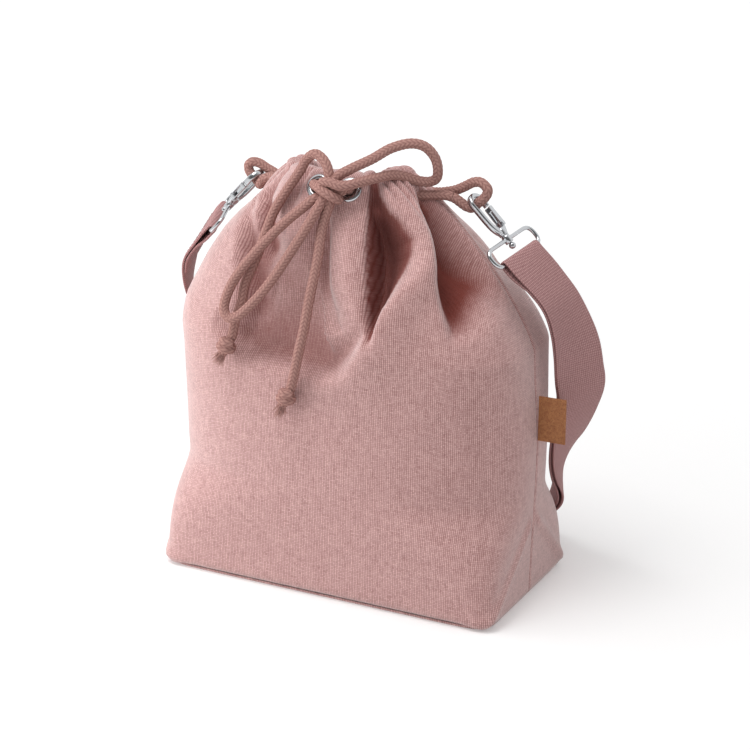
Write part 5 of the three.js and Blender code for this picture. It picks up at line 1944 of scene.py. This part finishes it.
@dataclass(frozen=True)
class Studio:
    """Camera, floor and soft light."""

    lens: float = 90.0
    azimuth: float = 27.29
    elevation: float = 18.37
    distance: float = 1385.2
    pan: tuple[float, float] = (8.13, 138.15)
    floor: str = "#e8e8e8"
    lift: tuple[float, float] = (0.2, 0.45)
    ambient: float = 0.72
    lamps: tuple[SoftBox, ...] = (
        SoftBox("key", (-0.52, -0.27, 0.1), (-0.05, 0, 0.08), 0.4, 2.7, False),
        SoftBox("overhead", (-0.1, -0.3, 1.05), (0, 0, 0.1), 0.5, 4.4, True),
    )

    def camera(self) -> None:
        """A camera at the photographed angle, for a square frame."""
        a, e = math.radians(self.azimuth), math.radians(self.elevation)
        right = np.array([math.cos(a), math.sin(a), 0.0])
        back = np.array([math.sin(a) * math.cos(e), -math.cos(a) * math.cos(e), math.sin(e)])
        up = np.cross(back, right)
        data = bpy.data.cameras.new("camera")
        data.lens, data.sensor_width = self.lens, 36.0
        data.clip_start, data.clip_end = 0.05, 50.0
        made = bpy.data.objects.new("camera", data)
        bpy.context.scene.collection.objects.link(made)
        matrix = place((right * self.pan[0] + up * self.pan[1] + back * self.distance) * MM, right, up, back)
        made.matrix_world = Matrix(matrix.tolist())
        bpy.context.scene.camera = made

    def seen(self, tree: bpy.types.NodeTree) -> bpy.types.NodeSocket:
        """1 for what the camera sees, straight or in metal, and 0 for light on its way to the object."""
        path = add_node(tree, "LightPath").node.outputs
        straight = add_node(
            tree, "Math", {0: path["Is Camera Ray"], 1: path["Is Glossy Ray"]}, operation="MAXIMUM"
        )
        return add_node(tree, "Math", {0: straight, 1: path["Is Transmission Ray"]}, operation="MAXIMUM")

    def ground(self) -> None:
        """A pale floor that takes the shadow, lifted to white where it is seen."""
        s = np.linspace(-9000, 9000, 25)
        points = np.stack(np.broadcast_arrays(s[None, :], s[:, None], np.full((25, 25), -0.2)), axis=-1)
        floor = grid_object("floor", points)
        material, tree, shader = new_material("pale_floor")
        set_inputs(
            shader,
            {"Base Color": linear(self.floor), "Roughness": 0.9, "Emission Color": (1.0, 1.0, 1.0, 1.0)},
        )
        at = add_node(tree, "TexCoord", out="Object")
        far = add_node(tree, "VectorMath", {0: at}, operation="LENGTH", out="Value")
        near, away = self.lift
        rise = add_node(tree, "MapRange", {0: far, 1: 0.25, 2: 1.3, 3: near, 4: away})
        lift = add_node(tree, "Math", {0: self.seen(tree), 1: rise}, operation="MULTIPLY")
        set_inputs(shader, {"Emission Strength": lift})
        floor.data.materials.append(material)

    def world(self) -> None:
        """Soft light from all round, with white behind and a dim room in front for metal to mirror."""
        world = bpy.data.worlds.new("studio")
        bpy.context.scene.world = world
        world.use_nodes = True
        tree = world.node_tree
        tree.nodes.clear()
        level = add_node(tree, "MapRange", {0: self.seen(tree), 3: self.ambient, 4: 1.0})
        way = add_node(tree, "TexCoord", out="Generated")
        front = add_node(tree, "VectorMath", {0: way, 1: (0.3, -0.93, 0.2)}, operation="DOT_PRODUCT", out=1)
        dim = add_node(tree, "MapRange", {0: front, 1: 0.1, 2: 0.75, 3: 0.0, 4: 0.86})
        glossy = add_node(tree, "LightPath", out="Is Glossy Ray")
        shade = add_node(tree, "Math", {0: dim, 1: glossy}, operation="MULTIPLY")
        kept = add_node(tree, "Math", {0: 1.0, 1: shade}, operation="SUBTRACT")
        shown = add_node(tree, "Math", {0: level, 1: kept}, operation="MULTIPLY")
        light = add_node(tree, "Background", {0: (1, 1, 1, 1), 1: shown})
        add_node(tree, "OutputWorld", {0: light})

    def build(self) -> None:
        """Sets up the studio."""
        bpy.context.scene.view_settings.view_transform = "Standard"
        self.camera()
        self.ground()
        self.world()
        for lamp in self.lamps:
            lamp.build()


def main() -> None:
    """Builds the studio and every sub-assembly in order."""
    logging.basicConfig(level=logging.INFO, format="%(message)s")
    finishes = {
        "cloth": LinenCloth().material(),
        "cord": BraidedCord().material(),
        "webbing": StrapWebbing().material(),
        "nickel": NickelPlate().material(),
        "cork": CorkCloth().material(),
        "lining": FoilLining().material(),
        "foam": FoamSheet().material(),
        "strap_thread": SewingThread("strap_sewing_thread", "#8f6664").material(),
    }
    Studio().build()
    outline = BagOutline()
    bag = BagBody(outline)
    bag.build(finishes)
    Drawcord(outline, bag).build(finishes["cord"], bag.eyelet_places(), bag.eyelet_height)
    strap = ShoulderStrap()
    strap.build(finishes)
    StrapHardware(strap).build(finishes["nickel"])
    Trim(outline).build(finishes, bag.eyelet_places(), bag.eyelet_height)
    for name, node in frame["nodes"].items():
        key = next(row["material_slot"] for row in frame["record"]["subparts"] if row["node"] == name)
        node.data.materials.clear()
        node.data.materials.append(finishes[key])


if __name__ == "__main__":
    main()
